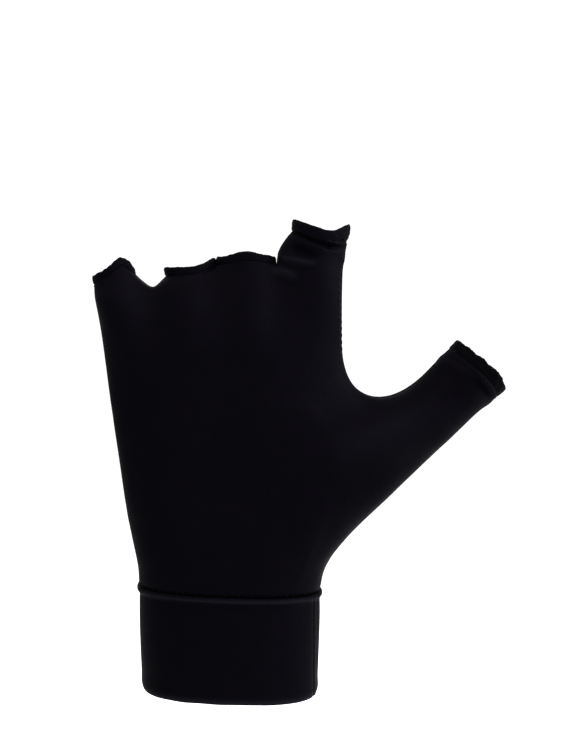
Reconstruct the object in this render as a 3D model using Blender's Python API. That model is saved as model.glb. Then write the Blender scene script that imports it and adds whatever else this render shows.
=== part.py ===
"""A half-finger compression glove for the right hand, in the form that it has when it is worn.

X runs to the thumb's side, Y from the palm to the back of the hand, and Z from the wrist to the fingers.
The origin is the middle of the wrist opening. All sizes are in metres.
"""

import math

import bmesh
import bpy
from mathutils import Vector

# Cloth
CLOTH = 0.0012
CUFF_CLOTH = 0.0022
HEM_CLOTH = 0.0016
CLEARANCE = 0.0003

# Cuff
CUFF_HEIGHT = 0.032
CUFF_TILT = math.radians(2.2)
RIM_WIDTH = 0.0536
RIM_DEPTH = 0.0370
WRIST_WIDTH = 0.0566
WRIST_DEPTH = 0.0352
BEAD = 0.0009

# Hand
PALM_DEPTH = 0.0290
FINGER_ROW_HEIGHT = 0.1302
FINGER_ROW_SHIFT = -0.0032
LITTLE_BASE = 0.0179
RING_BASE = 0.0192
MIDDLE_BASE = 0.0186
INDEX_BASE = 0.0203

# Finger openings: the width of each, and how far its edge stands above the row of webs
LITTLE_WIDTH = 0.0133
LITTLE_STEP = -0.0031
LITTLE_LEAN = math.radians(-10.5)
LITTLE_RISE = -0.0010
RING_WIDTH = 0.0156
RING_STEP = 0.0014
RING_LEAN = math.radians(-11.5)
RING_RISE = 0.0020
MIDDLE_WIDTH = 0.0178
MIDDLE_STEP = 0.0
MIDDLE_LEAN = 0.0
MIDDLE_RISE = 0.0037
INDEX_WIDTH = 0.0180
INDEX_STEP = 0.0037
INDEX_LEAN = math.radians(5.0)
INDEX_RISE = 0.0144
FINGER_HEM = 0.0022
INDEX_HEM = 0.0030

# Thumb
THUMB_ANGLE = math.radians(42.5)
THUMB_WIDTH = 0.0212
THUMB_DEPTH = 0.0205
THUMB_LENGTH = 0.0308
THUMB_FORWARD = 0.0080
THUMB_HEM = 0.0032
CROTCH_HEIGHT = 0.0902
CROTCH_REACH = 0.0447

# Mesh density: steps of the surface between the points where it forks, and rows along each stretch
LITTLE_STEPS = 7
RING_STEPS = 5
MIDDLE_STEPS = 5
INDEX_STEPS = 8
THUMB_STEPS = 8
FINGER_WEB_STEPS = 2
THUMB_WEB_STEPS = 3
LOWER_ROWS = 10
UPPER_ROWS = 8
THUMB_ROWS = 7
FINGER_ROWS = 2
INDEX_ROWS = 6

# Little finger's side of the hand: share of the height from the cuff to the finger row, share of the step out
LITTLE_SIDE = (
    (0.00, 0.000),
    (0.07, 0.015),
    (0.15, 0.130),
    (0.24, 0.260),
    (0.40, 0.420),
    (0.65, 0.655),
    (0.90, 0.870),
    (1.00, 1.000),
)

# Outer side from the cuff to the thumb's root: share of the way, shares of the steps out, up and to the palm
OUTER_SIDE = (
    (0.00, 0.000, 0.00, 0.00),
    (0.06, 0.000, 0.08, 0.01),
    (0.16, 0.060, 0.20, 0.06),
    (0.27, 0.165, 0.32, 0.15),
    (0.38, 0.280, 0.43, 0.28),
    (0.69, 0.645, 0.72, 0.65),
    (1.00, 1.000, 1.00, 1.00),
)

# Index finger's side above the crotch: share of the way, share of the crotch's sweep, share of the height
INDEX_SIDE = (
    (0.000, 1.00, 0.00),
    (0.125, 0.43, 0.06),
    (0.250, 0.13, 0.19),
    (0.375, 0.03, 0.33),
    (0.500, 0.00, 0.47),
    (0.800, 0.00, 0.79),
    (1.000, 0.01, 1.00),
)

# Sections of the hand: share of the height from the cuff to the finger row, and the depths of the palm's
# and the back's half as shares of the palm's depth
HAND_SECTIONS = (
    (0.00, 0.607, 0.607),
    (0.10, 0.628, 0.570),
    (0.25, 0.600, 0.530),
    (0.45, 0.530, 0.505),
    (0.65, 0.490, 0.495),
    (0.80, 0.470, 0.490),
    (0.92, 0.395, 0.425),
    (1.00, 0.330, 0.340),
)

# Thumb: share of the way from its root to its opening, half width and shift as shares of half its width,
# half depth as a share of half its depth
THUMB_SECTIONS = (
    (0.00, 1.155, 0.21, 1.30),
    (0.13, 0.995, 0.07, 1.24),
    (0.27, 0.950, 0.03, 1.17),
    (0.42, 0.925, 0.02, 1.10),
    (0.58, 0.935, 0.03, 1.04),
    (0.76, 0.960, 0.04, 1.00),
    (1.00, 1.000, 0.01, 1.00),
)

# Soft mounds and hollows: side of the hand (-1 palm, 1 back), place across as a share of the finger row's
# width and up as a share of its height, their reach in the same shares, and their swell as a share of depth
MOUNDS = (
    (-1, 0.44, 0.50, 0.22, 0.17, 0.30),
    (-1, -0.30, 0.44, 0.13, 0.20, 0.08),
    (-1, 0.04, 0.62, 0.17, 0.16, -0.12),
    (-1, -0.34, 0.86, 0.09, 0.07, 0.05),
    (-1, -0.13, 0.88, 0.09, 0.07, 0.05),
    (-1, 0.10, 0.88, 0.09, 0.07, 0.05),
    (-1, 0.33, 0.87, 0.09, 0.07, 0.05),
    (1, -0.38, 0.79, 0.08, 0.07, 0.16),
    (1, -0.17, 0.83, 0.09, 0.08, 0.13),
    (1, 0.07, 0.85, 0.09, 0.08, 0.15),
    (1, 0.30, 0.83, 0.09, 0.08, 0.15),
    (1, 0.02, 0.45, 0.30, 0.20, -0.06),
)

# Folds of the index finger's sleeve: start and end across and up, as shares of its width from the middle
# of its opening, and their width and height as shares of the same width
INDEX_FOLDS = (
    ((-0.47, -0.19), (0.50, -0.42), 0.07, 0.028),
    ((-0.30, -0.30), (0.50, -0.52), 0.06, -0.024),
    ((-0.62, -0.52), (0.20, -0.64), 0.07, 0.022),
    ((-1.10, -0.74), (-0.45, -0.98), 0.09, 0.026),
)

# Edges of the openings: share across, and how far the edge stands off its straight line as a share of width
LITTLE_EDGE = ((0.00, 0.00), (0.25, 0.07), (0.50, 0.15), (0.75, 0.24), (0.85, 0.20), (1.00, 0.00))
RING_EDGE = ((0.00, 0.00), (0.50, -0.08), (0.70, -0.09), (0.90, -0.04), (1.00, 0.00))
MIDDLE_EDGE = ((0.00, 0.00), (0.20, 0.02), (0.42, 0.09), (0.55, 0.09), (0.75, 0.05), (1.00, 0.00))
INDEX_EDGE = ((0.00, 0.00), (0.18, -0.05), (0.38, -0.10), (0.69, -0.16), (0.85, -0.07), (1.00, 0.00))
THUMB_EDGE = ((0.00, 0.00), (0.30, 0.02), (0.60, 0.05), (0.85, 0.04), (1.00, 0.00))

# Outline of a hem from its lower outer corner, up its outside and down its inside: share of its thickness
# out of the body's surface, share of its height
HEM_PROFILE = (
    (0.00, 0.00),
    (0.14, 0.25),
    (0.14, 0.72),
    (-0.06, 0.95),
    (-0.50, 1.00),
    (-0.94, 0.95),
    (-1.00, 0.60),
    (-1.00, 0.00),
)

# Height of the foot of the fingers as shares of the finger row's height: the little finger's side, the
# three webs and the index finger's side
ROW_LINE = (0.933, 0.945, 0.990, 0.990, 0.975)

# Shape of the surface where it forks
HAND_ROUNDNESS = 2.4
SLEEVE_ROUNDNESS = 2.05
ROOT_FORWARD = 0.65
CROTCH_FORWARD = 0.55
FORK_FOOT = 0.335
FORK_DROP = (0.175, 0.150)
FORK_START = 0.30
LOBE_START = 0.45
WEB_DEPTH = 0.60
WEB_ARCH = 0.55
SLEEVE_FADE = 0.60
STRAY_FADE = 0.50
FLARE_SKEW = 0.80
ROOT_REACH = 0.50
SMOOTHINGS = 3
CROTCH_SMOOTHINGS = 8
CROTCH_SMOOTHED = 0.85

# Worked out from the sizes above
SEAM_HEIGHT = CUFF_HEIGHT + CLEARANCE
FINGER_ROW_WIDTH = LITTLE_BASE + RING_BASE + MIDDLE_BASE + INDEX_BASE
ROW_LEFT = FINGER_ROW_SHIFT - FINGER_ROW_WIDTH / 2
ROW_RIGHT = FINGER_ROW_SHIFT + FINGER_ROW_WIDTH / 2
LITTLE_WEB = ROW_LEFT + LITTLE_BASE
RING_WEB = LITTLE_WEB + RING_BASE
MIDDLE_WEB = RING_WEB + MIDDLE_BASE
HAND_STEPS = LITTLE_STEPS + RING_STEPS + MIDDLE_STEPS + INDEX_STEPS
FORK_STEP = HAND_STEPS - THUMB_WEB_STEPS
FINGER_STEPS = (LITTLE_STEPS, RING_STEPS, MIDDLE_STEPS, INDEX_STEPS)
THUMB_AXIS = Vector((math.cos(THUMB_ANGLE), 0, math.sin(THUMB_ANGLE)))
THUMB_SIDE = Vector((math.sin(THUMB_ANGLE), 0, -math.cos(THUMB_ANGLE)))

# The four fingers from the little one on: middle of the finger's foot, sideways step from there to the
# opening, and how much its two edges flare half way up, as shares of its width
FINGERS = (
    {
        "name": "little",
        "x": (ROW_LEFT + LITTLE_WEB) / 2,
        "step": LITTLE_STEP,
        "width": LITTLE_WIDTH,
        "lean": LITTLE_LEAN,
        "rise": LITTLE_RISE,
        "hem": FINGER_HEM,
        "edge": LITTLE_EDGE,
        "flares": (0.0, 0.0),
        "rows": FINGER_ROWS,
    },
    {
        "name": "ring",
        "x": (LITTLE_WEB + RING_WEB) / 2,
        "step": RING_STEP,
        "width": RING_WIDTH,
        "lean": RING_LEAN,
        "rise": RING_RISE,
        "hem": FINGER_HEM,
        "edge": RING_EDGE,
        "flares": (0.0, 0.0),
        "rows": FINGER_ROWS,
    },
    {
        "name": "middle",
        "x": (RING_WEB + MIDDLE_WEB) / 2,
        "step": MIDDLE_STEP,
        "width": MIDDLE_WIDTH,
        "lean": MIDDLE_LEAN,
        "rise": MIDDLE_RISE,
        "hem": FINGER_HEM,
        "edge": MIDDLE_EDGE,
        "flares": (0.0, 0.0),
        "rows": FINGER_ROWS,
    },
    {
        "name": "index",
        "x": (MIDDLE_WEB + ROW_RIGHT) / 2,
        "step": INDEX_STEP,
        "width": INDEX_WIDTH,
        "lean": INDEX_LEAN,
        "rise": INDEX_RISE,
        "hem": INDEX_HEM,
        "edge": INDEX_EDGE,
        "flares": (-0.07, -0.02),
        "rows": INDEX_ROWS,
    },
)


def blend(start, stop, share):
    """The value at a share of the way between two others."""
    return start + (stop - start) * share


def ease(share):
    """A share that starts and stops gently."""
    share = min(max(share, 0.0), 1.0)
    return share * share * (3 - 2 * share)


def along(table, share):
    """The values of a short table at a share of its first column, joined by a smooth curve."""
    share = min(max(share, table[0][0]), table[-1][0])
    here = sum(row[0] < share for row in table[1:-1])
    start, stop = table[here], table[here + 1]
    before, after = table[max(here - 1, 0)], table[min(here + 2, len(table) - 1)]
    span = stop[0] - start[0]
    t = (share - start[0]) / span
    values = []
    for column in range(1, len(start)):
        leaving = (stop[column] - before[column]) / (stop[0] - before[0]) * span
        arriving = (after[column] - start[column]) / (after[0] - start[0]) * span
        rise = stop[column] - start[column]
        values.append(
            start[column]
            + leaving * t
            + (3 * rise - 2 * leaving - arriving) * t * t
            + (leaving + arriving - 2 * rise) * t * t * t
        )
    return values


def swell(x, z, side):
    """How much the soft mounds and hollows thicken the hand at a place."""
    across = (x - FINGER_ROW_SHIFT) / FINGER_ROW_WIDTH
    up = z / FINGER_ROW_HEIGHT
    total = 1.0
    for mound_side, middle, height, reach_across, reach_up, strength in MOUNDS:
        if mound_side == side:
            distance = ((across - middle) / reach_across) ** 2 + ((up - height) / reach_up) ** 2
            total += strength * math.exp(-distance)
    return total


def place(x, z, seam, depth, side):
    """A point of the surface, so far to the palm (side -1) or to the back (side 1) from the seam."""
    return Vector((x, seam + side * depth * swell(x, z, side), z))


def bulge(across, roundness):
    """Depth of a rounded section, from 1 in its middle to 0 at its ends, -1 and 1 across."""
    return max(1 - abs(across) ** roundness, 0.0) ** (1 / roundness)


def seam_height(x):
    """Height of the body's lower edge, which leans with the cuff."""
    return SEAM_HEIGHT - math.tan(CUFF_TILT) * x


def hand_angles():
    """Angle across the hand of each step of the surface, so that steps fall on the finger webs."""
    corners = [-math.pi / 2]
    for web in (LITTLE_WEB, RING_WEB, MIDDLE_WEB):
        corners.append(math.asin(2 * (web - ROW_LEFT) / FINGER_ROW_WIDTH - 1))
    corners.append(math.pi / 2)
    angles = corners[:1]
    for start, stop, steps in zip(corners, corners[1:], FINGER_STEPS):
        angles += [blend(start, stop, (step + 1) / steps) for step in range(steps)]
    return angles


def new_row(skin, palm_points, back_points):
    """Adds one row of points: a list over the palm and one over the back, which share their two ends."""
    palm = [skin.verts.new(point) for point in palm_points]
    back = [skin.verts.new(point) for point in back_points[1:-1]]
    return palm, [palm[0]] + back + [palm[-1]]


def join_rows(skin, lower, upper):
    """Adds the faces between two rows. A face's material index tells its panel: 0 palm, 1 back."""
    for panel, (low, high) in enumerate(zip(lower, upper)):
        for k in range(len(low) - 1):
            corners = [low[k], low[k + 1], high[k + 1], high[k]]
            face = skin.faces.new(corners if panel == 0 else corners[::-1])
            face.material_index = panel


def little_side(z):
    """The edge of the hand on the little finger's side, at a height."""
    foot = seam_height(-WRIST_WIDTH / 2)
    out, = along(LITTLE_SIDE, (z - foot) / (ROW_LINE[0] * FINGER_ROW_HEIGHT - foot))
    return Vector((blend(-WRIST_WIDTH / 2, ROW_LEFT, out), 0, z))


def outer_side(way):
    """The edge of the hand on the thumb's side, from the cuff to the thumb's root."""
    root = thumb_edges(0)[1]
    foot = seam_height(WRIST_WIDTH / 2)
    out, up, forward = along(OUTER_SIDE, way)
    return Vector((blend(WRIST_WIDTH / 2, root.x, out), root.y * forward, blend(foot, root.z, up)))


def index_side(way):
    """The edge of the hand from the thumb's crotch to the foot of the index finger."""
    sweep, up = along(INDEX_SIDE, way)
    crotch = thumb_edges(0)[0]
    top = ROW_LINE[-1] * FINGER_ROW_HEIGHT
    return Vector((blend(ROW_RIGHT, crotch.x, sweep), crotch.y * sweep, blend(crotch.z, top, up)))


def thumb_edges(way):
    """The thumb's inner edge and outer edge, from its root to its opening."""
    half, shift, _ = along(THUMB_SECTIONS, way)
    root_half, root_shift, _ = THUMB_SECTIONS[0][1:]
    crotch = Vector((CROTCH_REACH, 0, CROTCH_HEIGHT))
    axis = crotch + THUMB_SIDE * (root_half + root_shift) * THUMB_WIDTH / 2
    axis += THUMB_AXIS * THUMB_LENGTH * way
    axis.y = -THUMB_FORWARD * blend(ROOT_FORWARD, 1, way)
    inner = axis - THUMB_SIDE * (half + shift) * THUMB_WIDTH / 2
    outer = axis + THUMB_SIDE * (half - shift) * THUMB_WIDTH / 2
    inner.y *= blend(CROTCH_FORWARD, 1, ease(way))
    return inner, outer


def hand_depth(z, side):
    """Half the hand's depth at a height, on the palm's side or the back's."""
    depths = along(HAND_SECTIONS, (z - SEAM_HEIGHT) / (FINGER_ROW_HEIGHT - SEAM_HEIGHT))
    return depths[side > 0] * PALM_DEPTH


def lower_rows(skin, angles):
    """The rows from the cuff to the thumb's crotch, each over the palm and the ball of the thumb."""
    fork_across = math.sin(angles[FORK_STEP])
    hand = [(1 + math.sin(angle)) / (1 + fork_across) for angle in angles[: FORK_STEP + 1]]
    start = -angles[FORK_STEP]
    thumb_angles = [blend(start, math.pi / 2, step / THUMB_STEPS) for step in range(1, THUMB_STEPS + 1)]
    thumb = [(math.sin(angle) + fork_across) / (1 + fork_across) for angle in thumb_angles]
    lobes = [math.sin(angle) for angle in angles[: FORK_STEP + 1] + thumb_angles]
    fork_foot = Vector((FORK_FOOT * WRIST_WIDTH, 0, seam_height(FORK_FOOT * WRIST_WIDTH)))
    crotch = thumb_edges(0)[0]
    fork_top = crotch - Vector((FORK_DROP[0] * THUMB_WIDTH, 0, FORK_DROP[1] * THUMB_WIDTH))
    thumb_half = THUMB_SECTIONS[0][3] * THUMB_DEPTH / 2
    rows = []
    for row in range(LOWER_ROWS + 1):
        way = row / LOWER_ROWS
        left = little_side(blend(seam_height(-WRIST_WIDTH / 2), fork_top.z, way))
        right = outer_side(way)
        fork = blend(fork_foot, fork_top, way)
        fork.y = blend(0, crotch.y, way)
        flat = [blend(left, fork, share) for share in hand] + [blend(fork, right, share) for share in thumb]
        to_fork, to_right = (fork - left).xz.length, (right - fork).xz.length
        length = to_fork + to_right
        ways = [share * to_fork for share in hand] + [to_fork + share * to_right for share in thumb]
        forked = ease((way - FORK_START) / (1 - FORK_START))
        sides = []
        for side in (-1, 1):
            points = []
            for step, (point, gone) in enumerate(zip(flat, ways)):
                depth = hand_depth(point.z, side)
                if step > FORK_STEP:
                    near = (step - FORK_STEP) / THUMB_STEPS
                    depth = blend(depth, thumb_half, way * ease(near / ROOT_REACH))
                oval = bulge(2 * gone / length - 1, HAND_ROUNDNESS)
                depth *= blend(oval, bulge(lobes[step], HAND_ROUNDNESS), forked)
                points.append(place(point.x, point.z, point.y, depth, side))
            sides.append(points)
        rows.append(new_row(skin, *sides))
    for lower, upper in zip(rows, rows[1:]):
        join_rows(skin, lower, upper)
    return rows


def web(skin, fork, crest, steps):
    """The path over a web: from its lowest point on the palm to its crest, and the same from the back."""
    paths = []
    for low in fork:
        path = [low]
        for step in range(1, steps):
            angle = math.pi / 2 * step / steps
            flat = blend(low.co, crest.co, math.sin(angle))
            depth = (low.co.y - crest.co.y) * math.cos(angle)
            path.append(skin.verts.new((flat.x, crest.co.y + depth, flat.z)))
        paths.append(path + [crest])
    return paths


def upper_rows(skin, angles, lowest):
    """The rows from the thumb's crotch to the foot of the fingers, above a lowest row that is already there."""
    across = [math.sin(angle) for angle in angles]
    first_left, first_right = little_side(lowest[0][0].co.z), index_side(0)
    corners = [0, LITTLE_STEPS, LITTLE_STEPS + RING_STEPS, HAND_STEPS - INDEX_STEPS, HAND_STEPS]
    lower = lowest
    for row in range(1, UPPER_ROWS + 1):
        way = row / UPPER_ROWS
        right = index_side(way)
        top_left = ROW_LINE[0] * FINGER_ROW_HEIGHT
        left = little_side(blend(first_left.z, top_left, way))
        climb = along(INDEX_SIDE, way)[1]
        forked = ease((way - LOBE_START) / (1 - LOBE_START))
        sides = []
        for panel, side in enumerate((-1, 1)):
            points = []
            for step, position in enumerate(across):
                share = (1 + position) / 2
                below = lowest[panel][step].co
                stray = below.x - blend(first_left.x, first_right.x, share)
                x = blend(left.x, right.x, share) + stray * (1 - ease(way / STRAY_FADE))
                top = row_line(step, corners) * FINGER_ROW_HEIGHT
                z = blend(below.z, top, blend(way, climb, share))
                lobe = lobe_depth(step, corners)
                depth = hand_depth(z, side) * blend(bulge(position, HAND_ROUNDNESS), lobe, forked)
                points.append(place(x, z, right.y * share * share, depth, side))
            sides.append(points)
        upper = new_row(skin, *sides)
        join_rows(skin, lower, upper)
        lower = upper
    return lower, corners


def finger_of(step, corners):
    """The finger that a step lies below, and how far across that finger it is."""
    finger = min(sum(step > corner for corner in corners[1:-1]), len(corners) - 2)
    return finger, (step - corners[finger]) / (corners[finger + 1] - corners[finger])


def row_line(step, corners):
    """Height of the foot of the fingers at a step, as a share of the height of the finger row."""
    finger, share = finger_of(step, corners)
    return blend(ROW_LINE[finger], ROW_LINE[finger + 1], share)


def lobe_depth(step, corners):
    """Depth at a step of the foot of the fingers, where each finger is a lobe of its own."""
    finger, share = finger_of(step, corners)
    valley = math.asin(WEB_DEPTH)
    start = 0 if finger == 0 else valley
    stop = math.pi - (0 if finger == len(corners) - 2 else valley)
    return math.sin(blend(start, stop, share))


def sleeve(skin, base, section, rows):
    """Rows of a sleeve from a base row on, where section gives the row at each share of the way.

    What the base row strays from its section fades out along the first part of the way.
    """
    strays = [[vert.co - point for vert, point in zip(line, points)] for line, points in zip(base, section(0))]
    lower = base
    for row in range(1, rows + 1):
        way = row / rows
        keep = 1 - ease(way / SLEEVE_FADE)
        sides = []
        for points, offsets in zip(section(way), strays):
            sides.append([point + stray * keep for point, stray in zip(points, offsets)])
        upper = new_row(skin, *sides)
        join_rows(skin, lower, upper)
        lower = upper
    return lower


def round_section(inner, outer, axis, depth, steps, rises, rise):
    """Half rings of a round sleeve between two edges, on the palm and on the back."""
    sides = []
    for side in (-1, 1):
        points = []
        for step in range(steps + 1):
            angle = math.pi * step / steps
            share = (1 - math.cos(angle)) / 2
            point = blend(inner, outer, share) + axis * along(rises, share)[0] * rise
            points.append(place(point.x, point.z, point.y, depth * bulge(2 * share - 1, SLEEVE_ROUNDNESS), side))
        sides.append(points)
    return sides


def thumb_sleeve(skin, crotch_web, lowest):
    """The thumb's sleeve, from the crotch and the outer end of the row below it to its opening."""
    base = []
    for path, line in zip(crotch_web, lowest):
        base.append(path[::-1] + line[FORK_STEP + 1 :])
    reach = 1 - (THUMB_HEM + CLEARANCE) / THUMB_LENGTH
    steps = THUMB_STEPS + THUMB_WEB_STEPS

    def section(way):
        inner, outer = thumb_edges(way * reach)
        depth = along(THUMB_SECTIONS, way * reach)[2] * THUMB_DEPTH / 2
        return round_section(inner, outer, THUMB_AXIS, depth, steps, THUMB_EDGE, THUMB_WIDTH * way)

    return sleeve(skin, base, section, THUMB_ROWS)


def finger_sleeve(skin, finger, base):
    """One finger's sleeve, from its foot to the lower edge of its hem."""
    axis, side, middle = opening_frame(finger)
    top = middle - axis * (finger["hem"] + CLEARANCE)
    feet = [line.co.copy() for line in (base[0][0], base[0][-1])]
    tops = [top + side * sign * finger["width"] / 2 for sign in (-1, 1)]
    foot_depth = HAND_SECTIONS[-1][1] * PALM_DEPTH
    steps = len(base[0]) - 1

    def section(way):
        flare = math.sin(math.pi * way**FLARE_SKEW) * finger["width"]
        inner = blend(feet[0], tops[0], way) + side * finger["flares"][0] * flare
        outer = blend(feet[1], tops[1], way) + side * finger["flares"][1] * flare
        depth = blend(foot_depth, finger["width"] / 2, way)
        return round_section(inner, outer, axis, depth, steps, finger["edge"], finger["width"] * way)

    return sleeve(skin, base, section, finger["rows"])


def opening_frame(finger):
    """The way a finger's opening faces, the way across it, and its middle."""
    axis = Vector((math.sin(finger["lean"]), 0, math.cos(finger["lean"])))
    side = Vector((math.cos(finger["lean"]), 0, -math.sin(finger["lean"])))
    middle = Vector((finger["x"] + finger["step"], 0, FINGER_ROW_HEIGHT + finger["rise"]))
    return axis, side, middle


def smooth(skin, kept):
    """Evens out the depth of the surface, and its flow round the crotch, without moving edges or outline."""
    loose = [vert for vert in skin.verts if vert not in kept]
    for _ in range(SMOOTHINGS):
        bmesh.ops.smooth_vert(skin, verts=loose, factor=0.5, use_axis_y=True)
    crotch = thumb_edges(0)[0]
    reach = CROTCH_SMOOTHED * THUMB_WIDTH
    near = [vert for vert in loose if (vert.co - crotch).length < reach]
    for _ in range(CROTCH_SMOOTHINGS):
        bmesh.ops.smooth_vert(skin, verts=near, factor=0.5, use_axis_x=True, use_axis_y=True, use_axis_z=True)


def fold(skin, kept):
    """Raises the folds on the palm's side of the index finger's sleeve."""
    axis, side, middle = opening_frame(FINGERS[-1])
    skin.normal_update()
    moves = []
    for vert in skin.verts:
        if vert in kept or any(face.material_index for face in vert.link_faces):
            continue
        offset = vert.co - middle
        place_on = Vector((offset.dot(side), offset.dot(axis))) / INDEX_WIDTH
        height = 0
        for start, end, width, strength in INDEX_FOLDS:
            run = Vector(end) - Vector(start)
            gone = (place_on - Vector(start)).dot(run) / run.length_squared
            off = (place_on - Vector(start) - run * min(max(gone, 0), 1)).length
            height += strength * math.exp(-((off / width) ** 2))
        moves.append((vert, vert.normal * height * INDEX_WIDTH))
    for vert, move in moves:
        vert.co += move
    skin.normal_update()


def glove_skin():
    """The outer surface of the whole body, with its lowest row and the row at each opening."""
    skin = bmesh.new()
    angles = hand_angles()
    rows = lower_rows(skin, angles)
    lowest = rows[-1]
    crest = skin.verts.new(thumb_edges(0)[0])
    crotch_web = web(skin, [line[FORK_STEP] for line in lowest], crest, THUMB_WEB_STEPS)
    hand_base = [line[:FORK_STEP] + path for line, path in zip(lowest, crotch_web)]
    thumb_end = thumb_sleeve(skin, crotch_web, lowest)
    top, corners = upper_rows(skin, angles, hand_base)
    webs = [None]
    for corner in corners[1:-1]:
        low = top[0][corner].co
        crest = skin.verts.new((low.x, 0, low.z + WEB_ARCH * FINGER_HEM))
        webs.append(web(skin, [line[corner] for line in top], crest, FINGER_WEB_STEPS))
    webs.append(None)
    ends = []
    for number, finger in enumerate(FINGERS):
        start, stop = corners[number], corners[number + 1]
        base = []
        for panel in (0, 1):
            line = top[panel][start : stop + 1]
            if webs[number]:
                line = webs[number][panel][:0:-1] + line
            if webs[number + 1]:
                line = line + webs[number + 1][panel][1:]
            base.append(line)
        ends.append(finger_sleeve(skin, finger, base))
    ends.append(thumb_end)
    skin.normal_update()
    seams = {vert for vert in skin.verts if len({face.material_index for face in vert.link_faces}) == 2}
    edges = {vert for vert in skin.verts if vert.is_boundary}
    smooth(skin, seams | edges)
    fold(skin, seams)
    return skin, rows[0], ends


def panel_mesh(skin, panel, openings):
    """One of the body's two halves, cut along the seams and given its thickness."""
    mesh = bmesh.new()
    ways = {vert: vert.normal for vert in skin.verts}
    for row, axis in openings:
        ways.update(zip(row[0] + row[1][-2:0:-1], outward(ring_of(row), axis)))
    outer, inner = {}, {}
    for vert in skin.verts:
        panels = {face.material_index for face in vert.link_faces}
        if panel in panels:
            gap = Vector((0, (panel - 0.5) * CLEARANCE, 0)) if len(panels) == 2 else Vector()
            outer[vert] = mesh.verts.new(vert.co + gap)
            inner[vert] = mesh.verts.new(vert.co - ways[vert] * CLOTH + gap)
    for face in skin.faces:
        if face.material_index != panel:
            continue
        mesh.faces.new([outer[vert] for vert in face.verts])
        mesh.faces.new([inner[vert] for vert in reversed(face.verts)])
        for loop in face.loops:
            others = [other for other in loop.edge.link_faces if other != face]
            if any(other.material_index == panel for other in others):
                continue
            start, stop = loop.vert, loop.link_loop_next.vert
            mesh.faces.new([outer[stop], outer[start], inner[start], inner[stop]])
    return mesh


def ring_of(row):
    """The points of a row as one loop round the opening, counter-clockwise seen from outside."""
    palm, back = row
    return [vert.co.copy() for vert in palm + back[-2:0:-1]]


def outward(ring, axis):
    """For each point of a loop, the way out of it, square to its axis."""
    ways = []
    for before, after in zip(ring[-1:] + ring[:-1], ring[1:] + ring[:1]):
        ways.append((after - before).cross(axis).normalized())
    return ways


def band_mesh(loops):
    """A closed band of cloth from its loops of points, in order up its outside and down its inside."""
    mesh = bmesh.new()
    rings = [[mesh.verts.new(point) for point in loop] for loop in loops]
    for lower, upper in zip(rings, rings[1:] + rings[:1]):
        for k in range(len(lower)):
            after = (k + 1) % len(lower)
            mesh.faces.new([lower[k], lower[after], upper[after], upper[k]])
    return mesh


def hem_mesh(ring, axis, height):
    """The turned edge round one opening, seated just above the cloth's edge."""
    ways = outward(ring, axis)
    loops = []
    for out, up in HEM_PROFILE:
        lift = axis * (CLEARANCE + up * height)
        loops.append([point + way * out * HEM_CLOTH + lift for point, way in zip(ring, ways)])
    return band_mesh(loops)


def cuff_profile():
    """How far out of its surface and how high up each loop of the cuff lies."""
    outside = [
        (-0.50 * CUFF_CLOTH, 0),
        (-0.12 * CUFF_CLOTH, 0.15 * CUFF_CLOTH),
        (0, 0.60 * CUFF_CLOTH),
        (0, 0.30 * CUFF_HEIGHT),
        (0, 0.60 * CUFF_HEIGHT),
        (-0.20 * BEAD, CUFF_HEIGHT - 3.2 * BEAD),
        (0.25 * BEAD, CUFF_HEIGHT - 2.3 * BEAD),
        (0.50 * BEAD, CUFF_HEIGHT - 1.4 * BEAD),
        (0.30 * BEAD, CUFF_HEIGHT - 0.5 * BEAD),
        (-0.30 * BEAD, CUFF_HEIGHT),
    ]
    inside = [
        (0.30 * BEAD - CUFF_CLOTH, CUFF_HEIGHT),
        (-CUFF_CLOTH, CUFF_HEIGHT - 0.8 * BEAD),
        (-CUFF_CLOTH, 0.50 * CUFF_HEIGHT),
        (-CUFF_CLOTH, 0.60 * CUFF_CLOTH),
        (-0.88 * CUFF_CLOTH, 0.15 * CUFF_CLOTH),
    ]
    return outside + inside


def cuff_mesh(ring):
    """The cuff below the body's lower edge, a little narrower at its rim."""
    loops = []
    for out, up in cuff_profile():
        share = up / CUFF_HEIGHT
        wide, deep = blend(RIM_WIDTH / WRIST_WIDTH, 1, share), blend(RIM_DEPTH / WRIST_DEPTH, 1, share)
        level = [Vector((point.x * wide, point.y * deep, 0)) for point in ring]
        loop = []
        for point, way in zip(level, outward(level, Vector((0, 0, 1)))):
            spot = point + way * out
            spot.z = up - math.tan(CUFF_TILT) * spot.x
            loop.append(spot)
        loops.append(loop)
    return band_mesh(loops)


def jersey(name, color, roughness):
    """A plain matte knit."""
    material = bpy.data.materials.new(name)
    material.use_nodes = True
    shader = material.node_tree.nodes["Principled BSDF"]
    shader.inputs["Base Color"].default_value = (*color, 1)
    shader.inputs["Roughness"].default_value = roughness
    shader.inputs["Metallic"].default_value = 0
    return material


def add_object(name, mesh, material, origin, parent):
    """An object with its own origin, from a mesh whose points are places in the whole glove."""
    bmesh.ops.translate(mesh, verts=mesh.verts, vec=-origin)
    data = bpy.data.meshes.new(name)
    mesh.to_mesh(data)
    mesh.free()
    data.materials.clear()
    data.materials.append(material)
    for face in data.polygons:
        face.material_index = 0
    data.shade_smooth()
    data.set_sharp_from_angle(angle=math.radians(50))
    thing = bpy.data.objects.new(name, data)
    thing.location = origin
    thing.parent = parent
    bpy.context.scene.collection.objects.link(thing)


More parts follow.
